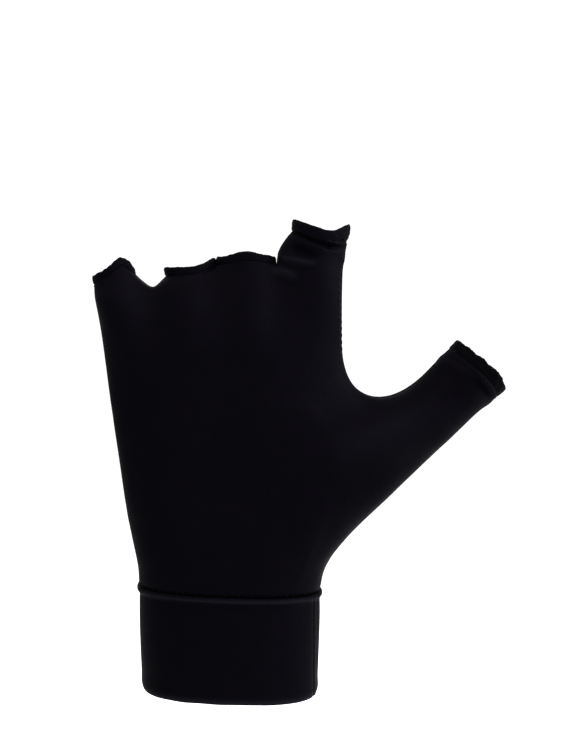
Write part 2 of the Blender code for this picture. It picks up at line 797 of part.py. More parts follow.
def main():
    for thing in list(bpy.data.objects):
        bpy.data.objects.remove(thing)
    glove = bpy.data.objects.new("glove", None)
    bpy.context.scene.collection.objects.link(glove)
    skin, wrist, ends = glove_skin()
    axes = [opening_frame(finger)[0] for finger in FINGERS] + [THUMB_AXIS]
    openings = [(wrist, Vector((0, 0, 1)))] + list(zip(ends, axes))
    body_color, cuff_color, hem_color = (0.0036, 0.0036, 0.0052), (0.0030, 0.0030, 0.0046), (0.0026, 0.0030, 0.0036)
    add_object("palm_panel", panel_mesh(skin, 0, openings), jersey("palm_jersey", body_color, 0.85), Vector(), glove)
    add_object("back_panel", panel_mesh(skin, 1, openings), jersey("back_jersey", body_color, 0.85), Vector(), glove)
    add_object("wrist_cuff", cuff_mesh(ring_of(wrist)), jersey("cuff_jersey", cuff_color, 0.85), Vector(), glove)
    for finger, end in zip(FINGERS, ends):
        axis, _, middle = opening_frame(finger)
        material = jersey(finger["name"] + "_hem_jersey", hem_color, 0.9)
        mesh = hem_mesh(ring_of(end), axis, finger["hem"])
        add_object(finger["name"] + "_hem", mesh, material, middle, glove)
    inner, outer = thumb_edges(1)
    mesh = hem_mesh(ring_of(ends[-1]), THUMB_AXIS, THUMB_HEM)
    add_object("thumb_hem", mesh, jersey("thumb_hem_jersey", hem_color, 0.9), (inner + outer) / 2, glove)
    skin.free()


main()
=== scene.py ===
"""A half-finger compression glove for the right hand, dressed over its frame.

X runs to the thumb's side, Y from the palm to the back of the hand, and Z from the wrist to the fingers.
The origin is the middle of the wrist opening. All sizes are in metres.
"""

import math

import bmesh
import bpy
from bpy.props import FloatProperty, FloatVectorProperty, PointerProperty
from mathutils import Matrix, Vector, noise
from mathutils.bvhtree import BVHTree
from mathutils.kdtree import KDTree


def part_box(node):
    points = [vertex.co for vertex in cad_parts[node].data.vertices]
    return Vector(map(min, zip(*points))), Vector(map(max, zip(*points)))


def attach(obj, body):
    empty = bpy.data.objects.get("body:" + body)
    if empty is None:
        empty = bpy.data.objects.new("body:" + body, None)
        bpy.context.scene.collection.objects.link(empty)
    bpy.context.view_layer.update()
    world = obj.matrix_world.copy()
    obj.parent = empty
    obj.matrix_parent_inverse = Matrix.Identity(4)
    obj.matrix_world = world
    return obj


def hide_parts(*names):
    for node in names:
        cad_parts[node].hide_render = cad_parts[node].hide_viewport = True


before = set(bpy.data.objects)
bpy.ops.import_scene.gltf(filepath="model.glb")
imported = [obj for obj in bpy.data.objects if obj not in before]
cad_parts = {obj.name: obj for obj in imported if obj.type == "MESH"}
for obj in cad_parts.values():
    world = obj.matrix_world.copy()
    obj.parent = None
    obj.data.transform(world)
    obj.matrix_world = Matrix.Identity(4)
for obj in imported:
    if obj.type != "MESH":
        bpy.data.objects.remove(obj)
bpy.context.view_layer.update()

bl_info = {
    "name": "Compression glove",
    "version": (1, 0, 0),
    "blender": (4, 5, 0),
    "location": "View3D > Sidebar > Glove",
    "description": "Builds a half-finger compression glove with its cuff, hems, stitches and stage",
    "category": "Object",
}

FINGERS = ("little", "ring", "middle", "index")

# Steps of the cage between the points where the surface forks, and rows along each stretch
FINGER_STEPS = (7, 5, 5, 8)
THUMB_STEPS = 8
FINGER_WEB_STEPS = 2
THUMB_WEB_STEPS = 3
LOWER_ROWS = 10
UPPER_ROWS = 8
THUMB_ROWS = 7
FINGER_ROWS = (2, 2, 2, 6)

# Little finger's side: share of the height from the cuff to the finger row, share of the step out
LITTLE_SIDE = (
    (0.00, 0.000),
    (0.07, 0.015),
    (0.15, 0.130),
    (0.24, 0.260),
    (0.40, 0.420),
    (0.65, 0.655),
    (0.90, 0.870),
    (1.00, 1.000),
)

# Outer side from the cuff to the thumb's root: share of the way, shares of the steps out, up and to the palm
OUTER_SIDE = (
    (0.00, 0.000, 0.00, 0.00),
    (0.06, 0.000, 0.08, 0.01),
    (0.16, 0.060, 0.20, 0.06),
    (0.27, 0.165, 0.32, 0.15),
    (0.38, 0.280, 0.43, 0.28),
    (0.69, 0.645, 0.72, 0.65),
    (1.00, 1.000, 1.00, 1.00),
)

# Index finger's side above the crotch: share of the way, share of the crotch's sweep, share of the height
INDEX_SIDE = (
    (0.000, 1.00, 0.00),
    (0.125, 0.43, 0.06),
    (0.250, 0.13, 0.19),
    (0.375, 0.03, 0.33),
    (0.500, 0.00, 0.47),
    (0.800, 0.00, 0.79),
    (1.000, 0.01, 1.00),
)

# Sections of the hand: share of the height from the cuff to the finger row, and the depths of the palm's
# and the back's half as shares of the palm's depth
HAND_SECTIONS = (
    (0.00, 0.607, 0.607),
    (0.10, 0.628, 0.570),
    (0.25, 0.600, 0.530),
    (0.45, 0.530, 0.505),
    (0.65, 0.490, 0.495),
    (0.80, 0.470, 0.490),
    (0.92, 0.395, 0.425),
    (1.00, 0.330, 0.340),
)

# Thumb: share of the way from its root to its opening, half width and shift as shares of half its width,
# half depth as a share of half its depth
THUMB_SECTIONS = (
    (0.00, 1.155, 0.21, 1.30),
    (0.13, 0.995, 0.07, 1.24),
    (0.27, 0.950, 0.03, 1.17),
    (0.42, 0.925, 0.02, 1.10),
    (0.58, 0.935, 0.03, 1.04),
    (0.76, 0.960, 0.04, 1.00),
    (1.00, 1.000, 0.01, 1.00),
)

# Soft mounds and hollows: side of the hand (-1 palm, 1 back), place across as a share of the finger row's
# width and up as a share of its height, their reach in the same shares, and their swell as a share of depth
MOUNDS = (
    (-1, 0.44, 0.50, 0.22, 0.17, 0.30),
    (-1, -0.30, 0.44, 0.13, 0.20, 0.08),
    (-1, 0.04, 0.62, 0.17, 0.16, -0.12),
    (-1, -0.34, 0.86, 0.09, 0.07, 0.05),
    (-1, -0.13, 0.88, 0.09, 0.07, 0.05),
    (-1, 0.10, 0.88, 0.09, 0.07, 0.05),
    (-1, 0.33, 0.87, 0.09, 0.07, 0.05),
    (1, -0.38, 0.79, 0.08, 0.07, 0.16),
    (1, -0.17, 0.83, 0.09, 0.08, 0.13),
    (1, 0.07, 0.85, 0.09, 0.08, 0.15),
    (1, 0.30, 0.83, 0.09, 0.08, 0.15),
    (1, 0.02, 0.45, 0.30, 0.20, -0.06),
)

# Edges of the openings: share across, and how far the edge stands off its straight line as a share of width
OPENING_EDGES = (
    ((0.00, 0.00), (0.25, 0.06), (0.50, 0.15), (0.74, 0.33), (0.86, 0.26), (1.00, 0.00)),
    ((0.00, 0.00), (0.50, -0.08), (0.70, -0.09), (0.90, -0.04), (1.00, 0.00)),
    ((0.00, 0.00), (0.20, 0.02), (0.42, 0.09), (0.55, 0.09), (0.75, 0.05), (1.00, 0.00)),
    ((0.00, 0.00), (0.18, -0.05), (0.38, -0.10), (0.69, -0.16), (0.85, -0.07), (1.00, 0.00)),
)
THUMB_EDGE = ((0.00, 0.00), (0.30, 0.02), (0.60, 0.05), (0.85, 0.04), (1.00, 0.00))

# How much the two edges of each finger's sleeve flare half way up, as shares of its width
FINGER_FLARES = ((0.0, 0.0), (0.0, 0.0), (0.0, 0.0), (-0.07, -0.02))

# Folds of a sleeve on the palm's side: start and end across and up, as shares of the opening's width from
# its middle, and their width and height as shares of the same width
INDEX_FOLDS = (
    ((-0.47, -0.13), (0.12, -0.27), 0.040, 0.034),
    ((-0.46, -0.22), (0.14, -0.41), 0.050, -0.055),
    ((0.14, -0.41), (0.34, -0.42), 0.050, -0.046),
    ((-0.20, -0.24), (0.26, -0.34), 0.040, 0.036),
    ((0.14, -0.26), (0.48, -0.30), 0.035, -0.036),
    ((-0.42, -0.50), (-0.12, -0.60), 0.110, -0.048),
    ((-0.60, -0.70), (-0.15, -0.72), 0.070, 0.052),
    ((-0.72, -0.88), (-0.42, -0.97), 0.075, 0.052),
    ((-0.95, -0.62), (-0.66, -0.72), 0.055, -0.040),
    ((0.36, -0.46), (0.42, -0.62), 0.060, 0.020),
)
THUMB_FOLDS = (
    ((0.04, -0.22), (0.36, -0.25), 0.040, -0.045),
    ((0.02, -0.14), (0.36, -0.16), 0.050, 0.024),
    ((0.24, -0.40), (0.42, -0.32), 0.090, 0.030),
    ((-0.50, -0.36), (-0.05, -0.22), 0.060, 0.016),
)

# Swells of the palm: the ball of the thumb, the heel of the hand and the pads at the root of the fingers,
# in the same form, as shares of the finger row's width from its middle
PALM_SWELLS = (
    ((0.50, -0.74), (0.84, -0.59), 0.085, 0.040),
    ((-0.38, -0.10), (-0.34, -0.36), 0.080, 0.012),
    ((-0.10, -0.10), (-0.08, -0.26), 0.070, 0.004),
    ((0.16, -0.12), (0.16, -0.30), 0.070, 0.008),
    ((-0.20, -0.84), (0.20, -0.92), 0.120, -0.012),
)

# Outline of a hem from its lower outer corner, up its outside and down its inside: share of its thickness
# out of the body's surface, share of its height
HEM_PROFILE = (
    (-0.20, -0.20),
    (0.02, -0.14),
    (0.13, 0.10),
    (0.10, 0.40),
    (0.12, 0.68),
    (0.00, 0.92),
    (-0.22, 1.03),
    (-0.54, 0.98),
    (-0.72, 0.70),
    (-0.84, 0.30),
    (-0.84, -0.16),
)

# Outline of the cuff, from its seam down its outside, round its rim and up its inside. The bead has shares
# of its height out and up from the seam, the wall shares of the cuff's thickness out and of its height up,
# the rim shares of the thickness out and up, and the lining shares of the height up
BEAD_PROFILE = (
    (-0.75, 0.10),
    (-0.10, 0.30),
    (0.55, -0.25),
    (0.74, -0.95),
    (0.40, -1.65),
    (-0.20, -2.30),
    (-0.16, -3.40),
)
WALL_PROFILE = ((0.00, 0.80), (0.02, 0.62), (0.00, 0.45), (0.00, 0.28), (-0.06, 0.14))
RIM_PROFILE = ((0.06, 0.90), (-0.10, -0.10), (-0.50, -0.42), (-0.90, -0.10), (-1.00, 0.70))
LINING_ROWS = (0.30, 0.60, 0.90, 1.00)

# Height of the foot of the fingers as shares of the finger row's height: the little finger's side, the
# three webs and the index finger's side
ROW_LINE = (0.933, 0.945, 0.990, 0.990, 0.975)

# Roundness of the sections, and shape of the surface where it forks
HAND_ROUNDNESS = 2.4
SLEEVE_ROUNDNESS = 2.05
ROOT_FORWARD = 0.65
CROTCH_FORWARD = 0.55
FORK_FOOT = 0.335
FORK_DROP = (0.175, 0.150)
FORK_START = 0.30
LOBE_START = 0.45
WEB_DEPTH = 0.60
WEB_ARCHES = (0.55, 1.30, 1.60)
SLEEVE_FADE = 0.60
STRAY_FADE = 0.50
FLARE_SKEW = 0.80
ROOT_REACH = 0.50
SMOOTHINGS = 3
CROTCH_SMOOTHINGS = 8
BALL_SMOOTHINGS = 14
CROTCH_SMOOTHED = 0.85
SEAM_GAP = 0.0003

# Box of the ball of the thumb that is smoothed more: left, right, foot and top
BALL_BOX = (0.010, 0.062, 0.040, 0.096)

# Finer shape in metres: waves of the cloth as heights and lengths, reaches of hollows and puckers, how far
# waves keep from a seam, and the distances from a seam where its hollow in the bump and its painted shade
# are full and where they end
BODY_WAVES = ((0.00022, 0.011), (0.00008, 0.004))
CUFF_WAVES = ((0.00016, 0.007),)
HEM_WAVES = ((0.00014, 0.0016), (0.00007, 0.0007))
PUCKER_WAVES = ((0.00014, 0.0025),)
PUCKER_REACH = 0.0030
GROOVE_REACH = 0.0009
GROOVE_SPACING = 0.0004
WAVE_INSET = 0.0040
HOLLOW_START = 0.0002
HOLLOW_STOP = 0.0011
NO_SEAM = 0.0100

# Finer shape as shares: how flat the cuff's waves lie, how ragged the thumb's hem is beside the others,
# reach of the finer mesh in widths of the index opening, the normal up to which a face counts as the palm's,
# and how much painted highlight a crest gets
CUFF_WAVE_FLATNESS = 0.4375
THUMB_RAGGED = 2.2
FINE_REACH = 1.15
PALM_FACING = 0.2
CREST_HIGHLIGHT = 0.20

# The cuff's double side seam: its place as a share of the wrist's width, half the gap between its two
# lines, the reach and depth of their hollows, how much narrower they lie on the bend, and the distance
# added for their painted shade. Then how much painted highlight the bead and the rim get
CUFF_SEAM_PLACE = 0.466
CUFF_SEAM_HALF = 0.0006
CUFF_SEAM_REACH = 0.0008
CUFF_SEAM_DEPTH = 0.5
CUFF_SEAM_BEND = 2.2
CUFF_SEAM_SHADE = 0.0004
BEAD_HIGHLIGHT = 0.50
RIM_HIGHLIGHT = 0.60

# The floor
FLOOR_HEIGHT = -0.09
FLOOR_HALF = 1.5

# Folds and swells: the height of a fold at which its painted shade in a hollow and its painted highlight on
# a crest are full, the swells' distance from a seam, and the height at which a swell's painted highlight is
# full
FOLD_SHADE_AND_HIGHLIGHT = 0.0007
SWELL_INSET = 0.0120
SWELL_HIGHLIGHT_FULL = 0.0040

# Sewing: how far a stitch bows out and sinks in, in thread thicknesses, how far in from the index finger's
# side the topstitching runs and how far up that side it starts, and how far stitches lie below a hem and
# above the cuff
THREAD_BOW = 0.75
THREAD_SINK = 0.35
TOPSTITCH_INSETS = (0.0008, 0.0017)
TOPSTITCH_START = 0.30
HEM_STITCH_DROP = 0.0008
CUFF_STITCH_RISE = 0.0007


def linear(code):
    """The linear colour of an sRGB hex value."""
    parts = [int(code[start : start + 2], 16) / 255 for start in (1, 3, 5)]
    return [part / 12.92 if part <= 0.04045 else ((part + 0.055) / 1.055) ** 2.4 for part in parts]


def length(name, about, value):
    """A length that a user can change."""
    return FloatProperty(name=name, description=about, default=value, min=0, unit="LENGTH", precision=4)


def angle(name, about, degrees):
    """An angle that a user can change."""
    return FloatProperty(name=name, description=about, default=math.radians(degrees), unit="ROTATION")


def lengths(name, about, values):
    """A length for each finger from the little one to the index."""
    return FloatVectorProperty(
        name=name, description=about, size=4, default=values, unit="LENGTH", precision=4
    )


def color(name, about, code):
    """A colour that a user can change."""
    return FloatVectorProperty(
        name=name, description=about, size=3, default=linear(code), min=0, max=1, subtype="COLOR"
    )


class GloveSizes(bpy.types.PropertyGroup):
    """The sizes of the glove when it is worn."""

    cuff_height: length("Cuff height", "From the rim to the seam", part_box("wrist_cuff")[1].z - 0.0013)
    cuff_tilt: angle("Cuff tilt", "Lean of the cuff's seam", 2.2)
    rim_width: length("Rim width", "Across the cuff at its rim", 0.0551)
    rim_depth: length("Rim depth", "Through the cuff at its rim", 0.0370)
    wrist_width: length("Wrist width", "Across the cuff at its seam", 0.0566)
    wrist_depth: length("Wrist depth", "Through the cuff at its seam", 0.0352)
    palm_depth: length("Palm depth", "Through the palm", 0.0290)
    row_height: length("Finger row height", "From the rim to the feet of the fingers", 0.1302)
    row_shift: FloatProperty(
        name="Finger row shift",
        description="To the thumb's side",
        default=-0.0032,
        unit="LENGTH",
        precision=4,
    )
    feet: lengths("Finger feet", "Width of each finger at its foot", (0.0179, 0.0192, 0.0186, 0.0203))
    widths: lengths("Finger openings", "Width of each opening", (0.0133, 0.0162, 0.0184, 0.0180))
    steps: lengths("Opening steps", "Of each to the side of its foot", (-0.0031, 0.0016, 0.0001, 0.0037))
    rises: lengths("Opening rises", "Of each above the finger row", (-0.0010, 0.0020, 0.0037, 0.0144))
    hems: lengths("Finger hems", "Height of each hem", (0.0022, 0.0022, 0.0022, 0.0030))
    leans: FloatVectorProperty(
        name="Opening leans",
        description="Lean of each opening to the thumb's side",
        size=4,
        default=[math.radians(lean) for lean in (-10.5, -11.5, 0.0, 5.0)],
        unit="ROTATION",
    )
    thumb_angle: angle("Thumb angle", "Of the thumb above level", 44.0)
    thumb_width: length("Thumb width", "Across the thumb's opening", 0.0212)
    thumb_depth: length("Thumb depth", "Through the thumb's opening", 0.0205)
    thumb_length: length("Thumb length", "From its root to its opening", 0.0308)
    thumb_forward: length("Thumb forward", "How far the thumb stands to the palm's side", 0.0080)
    thumb_hem: length("Thumb hem", "Height of the thumb's hem", 0.0032)
    crotch_height: length("Crotch height", "From the rim to the thumb's crotch", 0.0902)
    crotch_reach: length("Crotch reach", "From the wrist's middle to the thumb's crotch", 0.0447)


class GloveCloth(bpy.types.PropertyGroup):
    """Thicknesses, stitches and knit of the glove's cloth."""

    jersey: length("Jersey", "Thickness of one layer of jersey", 0.0008)
    cuff: length("Cuff", "Thickness of the doubled cuff", 0.0022)
    hem: length("Hem", "Thickness of a turned hem", 0.0016)
    bead: length("Bead", "Height of the rolled bead along the cuff's seam", 0.0009)
    wale: length("Wale", "Width of one column of loops", 0.0009)
    course: length("Course", "Height of one row of loops", 0.0007)
    relief: length("Knit relief", "Height of the loops above the hollows between them", 0.00006)
    thread: length("Thread", "Thickness of the sewing thread", 0.00026)
    stitch: length("Stitch", "Length of one stitch", 0.0021)
    groove: length("Groove", "Depth of the hollow along a seam", 0.0004)


class GloveColors(bpy.types.PropertyGroup):
    """The colours of the glove and its stage."""

    jersey: color("Jersey", "Black nylon jersey", "#050407")
    # Painted shade: the darker colour that the jersey material puts between its loops, along seams and in
    # the hollows of folds
    shade: color("Jersey shade", "The same between its loops", "#020203")
    # Painted highlight: the paler colour put on fold crests, the ball of the thumb, the cuff's bead and its
    # rim
    highlight_paint: color("Worn edge", "Jersey stretched thin over a fold or an edge", "#121217")
    hem: color("Hem", "Turned edge, a cooler black", "#030304")
    thread: color("Thread", "Black polyester thread", "#040405")
    sheen: color("Sheen", "Light caught by stray fibres", "#aeb6cc")
    floor: color("Floor", "Pale floor", "#fafafa")
    backdrop: color("Backdrop", "White surroundings", "#ffffff")


def blend(start, stop, share):
    """The value at a share of the way between two others."""
    return start + (stop - start) * share


def ease(share):
    """A share that starts and stops gently."""
    share = min(max(share, 0.0), 1.0)
    return share * share * (3 - 2 * share)


def along(table, share):
    """The values of a short table at a share of its first column, joined by a smooth curve."""
    share = min(max(share, table[0][0]), table[-1][0])
    here = sum(row[0] < share for row in table[1:-1])
    start, stop = table[here], table[here + 1]
    before, after = table[max(here - 1, 0)], table[min(here + 2, len(table) - 1)]
    span = stop[0] - start[0]
    t = (share - start[0]) / span
    values = []
    for column in range(1, len(start)):
        leaving = (stop[column] - before[column]) / (stop[0] - before[0]) * span
        arriving = (after[column] - start[column]) / (after[0] - start[0]) * span
        rise = stop[column] - start[column]
        values.append(
            start[column]
            + leaving * t
            + (3 * rise - 2 * leaving - arriving) * t * t
            + (leaving + arriving - 2 * rise) * t * t * t
        )
    return values


def bulge(across, roundness):
    """Depth of a rounded section, from 1 in its middle to 0 at its ends, -1 and 1 across."""
    return max(1 - abs(across) ** roundness, 0.0) ** (1 / roundness)


def ring_of(row):
    """The points of a row as one loop round the opening, counter-clockwise seen from outside."""
    palm, back = row
    return [vert.co.copy() for vert in palm + back[-2:0:-1]]


def outward(ring, axis):
    """For each point of a loop, the way out of it, square to its axis."""
    ways = []
    for before, after in zip(ring[-1:] + ring[:-1], ring[1:] + ring[:1]):
        ways.append((after - before).cross(axis).normalized())
    return ways


class GloveForm:
    """The outer surface of the glove's body, worked out from its sizes as a cage of four-sided faces."""

    def __init__(self, sizes):
        self.size = sizes
        self.row_width = sum(sizes.feet)
        self.row_left = sizes.row_shift - self.row_width / 2
        self.row_right = sizes.row_shift + self.row_width / 2
        self.webs = [self.row_left + sum(sizes.feet[:count]) for count in (1, 2, 3)]
        self.corners = [sum(FINGER_STEPS[:count]) for count in range(5)]
        self.fork_step = self.corners[-1] - THUMB_WEB_STEPS
        self.thumb_axis = Vector((math.cos(sizes.thumb_angle), 0, math.sin(sizes.thumb_angle)))
        self.thumb_side = Vector((math.sin(sizes.thumb_angle), 0, -math.cos(sizes.thumb_angle)))
        self.mesh = bmesh.new()
        self.flat = self.mesh.verts.layers.float_vector.new("cloth")
        self.build()

    def swell(self, x, z, side):
        """How much the soft mounds and hollows thicken the hand at a place."""
        across = (x - self.size.row_shift) / self.row_width
        up = z / self.size.row_height
        total = 1.0
        for mound_side, middle, height, reach_across, reach_up, strength in MOUNDS:
            if mound_side == side:
                distance = ((across - middle) / reach_across) ** 2 + ((up - height) / reach_up) ** 2
                total += strength * math.exp(-distance)
        return total

    def place(self, x, z, seam, depth, side):
        """A point of the surface, so far to the palm (side -1) or to the back (side 1) from the seam."""
        return Vector((x, seam + side * depth * self.swell(x, z, side), z))

    def seam_height(self, x):
        """Height of the body's lower edge, which leans with the cuff."""
        return self.size.cuff_height + SEAM_GAP - math.tan(self.size.cuff_tilt) * x

    def hand_angles(self):
        """Angle across the hand of each step of the surface, so that steps fall on the finger webs."""
        bends = [-math.pi / 2]
        bends += [math.asin(2 * (web - self.row_left) / self.row_width - 1) for web in self.webs]
        bends.append(math.pi / 2)
        angles = bends[:1]
        for start, stop, steps in zip(bends, bends[1:], FINGER_STEPS):
            angles += [blend(start, stop, (step + 1) / steps) for step in range(steps)]
        return angles

    def new_row(self, palm_points, back_points):
        """Adds one row of points: a list over the palm and one over the back, which share their two ends."""
        palm = [self.mesh.verts.new(point) for point in palm_points]
        back = [self.mesh.verts.new(point) for point in back_points[1:-1]]
        lines = palm, [palm[0]] + back + [palm[-1]]
        for line in lines:
            self.unroll(line)
        return lines

    def unroll(self, line):
        """Notes where each point of a row lies on the cloth laid flat, from its middle out."""
        middle = len(line) // 2
        for part in (line[middle:], line[middle::-1]):
            spot = Vector((part[0].co.x, part[0].co.z, 0))
            part[0][self.flat] = spot
            for before, after in zip(part, part[1:]):
                step = after.co - before.co
                spot = spot + Vector((step.x, step.z, 0)).normalized() * step.length
                after[self.flat] = spot

    def join_rows(self, lower, upper):
        """Adds the faces between two rows. A face's material index tells its panel: 0 palm, 1 back."""
        for panel, (low, high) in enumerate(zip(lower, upper)):
            for k in range(len(low) - 1):
                corners = [low[k], low[k + 1], high[k + 1], high[k]]
                face = self.mesh.faces.new(corners if panel == 0 else corners[::-1])
                face.material_index = panel

    def little_side(self, z):
        """The edge of the hand on the little finger's side, at a height."""
        foot = self.seam_height(-self.size.wrist_width / 2)
        out, = along(LITTLE_SIDE, (z - foot) / (ROW_LINE[0] * self.size.row_height - foot))
        return Vector((blend(-self.size.wrist_width / 2, self.row_left, out), 0, z))

    def outer_side(self, way):
        """The edge of the hand on the thumb's side, from the cuff to the thumb's root."""
        root = self.thumb_edges(0)[1]
        half = self.size.wrist_width / 2
        foot = self.seam_height(half)
        out, up, forward = along(OUTER_SIDE, way)
        return Vector((blend(half, root.x, out), root.y * forward, blend(foot, root.z, up)))

    def index_side(self, way):
        """The edge of the hand from the thumb's crotch to the foot of the index finger."""
        sweep, up = along(INDEX_SIDE, way)
        crotch = self.thumb_edges(0)[0]
        top = ROW_LINE[-1] * self.size.row_height
        x = blend(self.row_right, crotch.x, sweep)
        return Vector((x, crotch.y * sweep, blend(crotch.z, top, up)))

    def thumb_edges(self, way):
        """The thumb's inner edge and outer edge, from its root to its opening."""
        size = self.size
        half, shift, _ = along(THUMB_SECTIONS, way)
        root_half, root_shift, _ = THUMB_SECTIONS[0][1:]
        axis = Vector((size.crotch_reach, 0, size.crotch_height))
        axis += self.thumb_side * (root_half + root_shift) * size.thumb_width / 2
        axis += self.thumb_axis * size.thumb_length * way
        axis.y = -size.thumb_forward * blend(ROOT_FORWARD, 1, way)
        inner = axis - self.thumb_side * (half + shift) * size.thumb_width / 2
        outer = axis + self.thumb_side * (half - shift) * size.thumb_width / 2
        inner.y *= blend(CROTCH_FORWARD, 1, ease(way))
        return inner, outer

    def hand_depth(self, z, side):
        """Half the hand's depth at a height, on the palm's side or the back's."""
        foot = self.size.cuff_height + SEAM_GAP
        depths = along(HAND_SECTIONS, (z - foot) / (self.size.row_height - foot))
        return depths[side > 0] * self.size.palm_depth

    def lower_rows(self, angles):
        """The rows from the cuff to the thumb's crotch, each over the palm and the ball of the thumb."""
        size = self.size
        fork_step = self.fork_step
        fork_across = math.sin(angles[fork_step])
        hand = [(1 + math.sin(angle)) / (1 + fork_across) for angle in angles[: fork_step + 1]]
        start = -angles[fork_step]
        shares = [step / THUMB_STEPS for step in range(1, THUMB_STEPS + 1)]
        thumb_angles = [blend(start, math.pi / 2, share) for share in shares]
        thumb = [(math.sin(angle) + fork_across) / (1 + fork_across) for angle in thumb_angles]
        lobes = [math.sin(angle) for angle in angles[: fork_step + 1] + thumb_angles]
        foot = FORK_FOOT * size.wrist_width
        fork_foot = Vector((foot, 0, self.seam_height(foot)))
        crotch = self.thumb_edges(0)[0]
        drop = Vector((FORK_DROP[0] * size.thumb_width, 0, FORK_DROP[1] * size.thumb_width))
        fork_top = crotch - drop
        thumb_half = THUMB_SECTIONS[0][3] * size.thumb_depth / 2
        rows = []
        for row in range(LOWER_ROWS + 1):
            way = row / LOWER_ROWS
            left = self.little_side(blend(self.seam_height(-size.wrist_width / 2), fork_top.z, way))
            right = self.outer_side(way)
            fork = blend(fork_foot, fork_top, way)
            fork.y = blend(0, crotch.y, way)
            flat = [blend(left, fork, share) for share in hand]
            flat += [blend(fork, right, share) for share in thumb]
            to_fork, to_right = (fork - left).xz.length, (right - fork).xz.length
            whole = to_fork + to_right
            ways = [share * to_fork for share in hand] + [to_fork + share * to_right for share in thumb]
            forked = ease((way - FORK_START) / (1 - FORK_START))
            sides = []
            for side in (-1, 1):
                points = []
                for step, (point, gone) in enumerate(zip(flat, ways)):
                    depth = self.hand_depth(point.z, side)
                    if step > fork_step:
                        near = (step - fork_step) / THUMB_STEPS
                        depth = blend(depth, thumb_half, way * ease(near / ROOT_REACH))
                    oval = bulge(2 * gone / whole - 1, HAND_ROUNDNESS)
                    depth *= blend(oval, bulge(lobes[step], HAND_ROUNDNESS), forked)
                    points.append(self.place(point.x, point.z, point.y, depth, side))
                sides.append(points)
            rows.append(self.new_row(*sides))
        for lower, upper in zip(rows, rows[1:]):
            self.join_rows(lower, upper)
        return rows

    def web(self, fork, crest, steps):
        """The paths over a web: from its low point on the palm up to its crest, and the same at the back."""
        paths = []
        for low in fork:
            path = [low]
            for step in range(1, steps):
                angle = math.pi / 2 * step / steps
                flat = blend(low.co, crest.co, math.sin(angle))
                depth = (low.co.y - crest.co.y) * math.cos(angle)
                vert = self.mesh.verts.new((flat.x, crest.co.y + depth, flat.z))
                vert[self.flat] = (flat.x, flat.z, 0)
                path.append(vert)
            paths.append(path + [crest])
        return paths

    def new_crest(self, point):
        """The top point of a web."""
        crest = self.mesh.verts.new(point)
        crest[self.flat] = (point[0], point[2], 0)
        return crest

    def upper_rows(self, angles, lowest):
        """The rows from the thumb's crotch to the foot of the fingers, above a lowest row already there."""
        across = [math.sin(angle) for angle in angles]
        first_left, first_right = self.little_side(lowest[0][0].co.z), self.index_side(0)
        lower = lowest
        for row in range(1, UPPER_ROWS + 1):
            way = row / UPPER_ROWS
            right = self.index_side(way)
            left = self.little_side(blend(first_left.z, ROW_LINE[0] * self.size.row_height, way))
            climb = along(INDEX_SIDE, way)[1]
            forked = ease((way - LOBE_START) / (1 - LOBE_START))
            sides = []
            for panel, side in enumerate((-1, 1)):
                points = []
                for step, position in enumerate(across):
                    share = (1 + position) / 2
                    below = lowest[panel][step].co
                    stray = below.x - blend(first_left.x, first_right.x, share)
                    x = blend(left.x, right.x, share) + stray * (1 - ease(way / STRAY_FADE))
                    finger, part = self.finger_of(step)
                    top = blend(ROW_LINE[finger], ROW_LINE[finger + 1], part) * self.size.row_height
                    z = blend(below.z, top, blend(way, climb, share))
                    lobe = self.lobe_depth(finger, part)
                    depth = self.hand_depth(z, side)
                    depth *= blend(bulge(position, HAND_ROUNDNESS), lobe, forked)
                    points.append(self.place(x, z, right.y * share * share, depth, side))
                sides.append(points)
            upper = self.new_row(*sides)
            self.join_rows(lower, upper)
            lower = upper
        return lower

    def finger_of(self, step):
        """The finger that a step lies below, and how far across that finger it is."""
        corners = self.corners
        finger = min(sum(step > corner for corner in corners[1:-1]), len(corners) - 2)
        return finger, (step - corners[finger]) / (corners[finger + 1] - corners[finger])

    def lobe_depth(self, finger, share):
        """Depth across the foot of one finger, which is a lobe of its own."""
        valley = math.asin(WEB_DEPTH)
        start = 0 if finger == 0 else valley
        stop = math.pi - (0 if finger == len(FINGERS) - 1 else valley)
        return math.sin(blend(start, stop, share))

    def sleeve(self, base, section, rows):
        """Rows of a sleeve from a base row on, where section gives the row at each share of the way.

        What the base row strays from its section fades out along the first part of the way.
        """
        strays = []
        for line, points in zip(base, section(0)):
            strays.append([vert.co - point for vert, point in zip(line, points)])
        lower = base
        for row in range(1, rows + 1):
            way = row / rows
            keep = 1 - ease(way / SLEEVE_FADE)
            sides = []
            for points, offsets in zip(section(way), strays):
                sides.append([point + stray * keep for point, stray in zip(points, offsets)])
            upper = self.new_row(*sides)
            self.join_rows(lower, upper)
            lower = upper
        return lower

    def round_section(self, inner, outer, axis, depth, steps, rises, rise):
        """Half rings of a round sleeve between two edges, on the palm and on the back."""
        sides = []
        for side in (-1, 1):
            points = []
            for step in range(steps + 1):
                share = (1 - math.cos(math.pi * step / steps)) / 2
                point = blend(inner, outer, share) + axis * along(rises, share)[0] * rise
                half = depth * bulge(2 * share - 1, SLEEVE_ROUNDNESS)
                points.append(self.place(point.x, point.z, point.y, half, side))
            sides.append(points)
        return sides

    def thumb_sleeve(self, crotch_web, lowest):
        """The thumb's sleeve, from the crotch and the outer end of the row below it to its opening."""
        size = self.size
        base = [path[::-1] + line[self.fork_step + 1 :] for path, line in zip(crotch_web, lowest)]
        reach = 1 - (size.thumb_hem + SEAM_GAP) / size.thumb_length
        steps = THUMB_STEPS + THUMB_WEB_STEPS

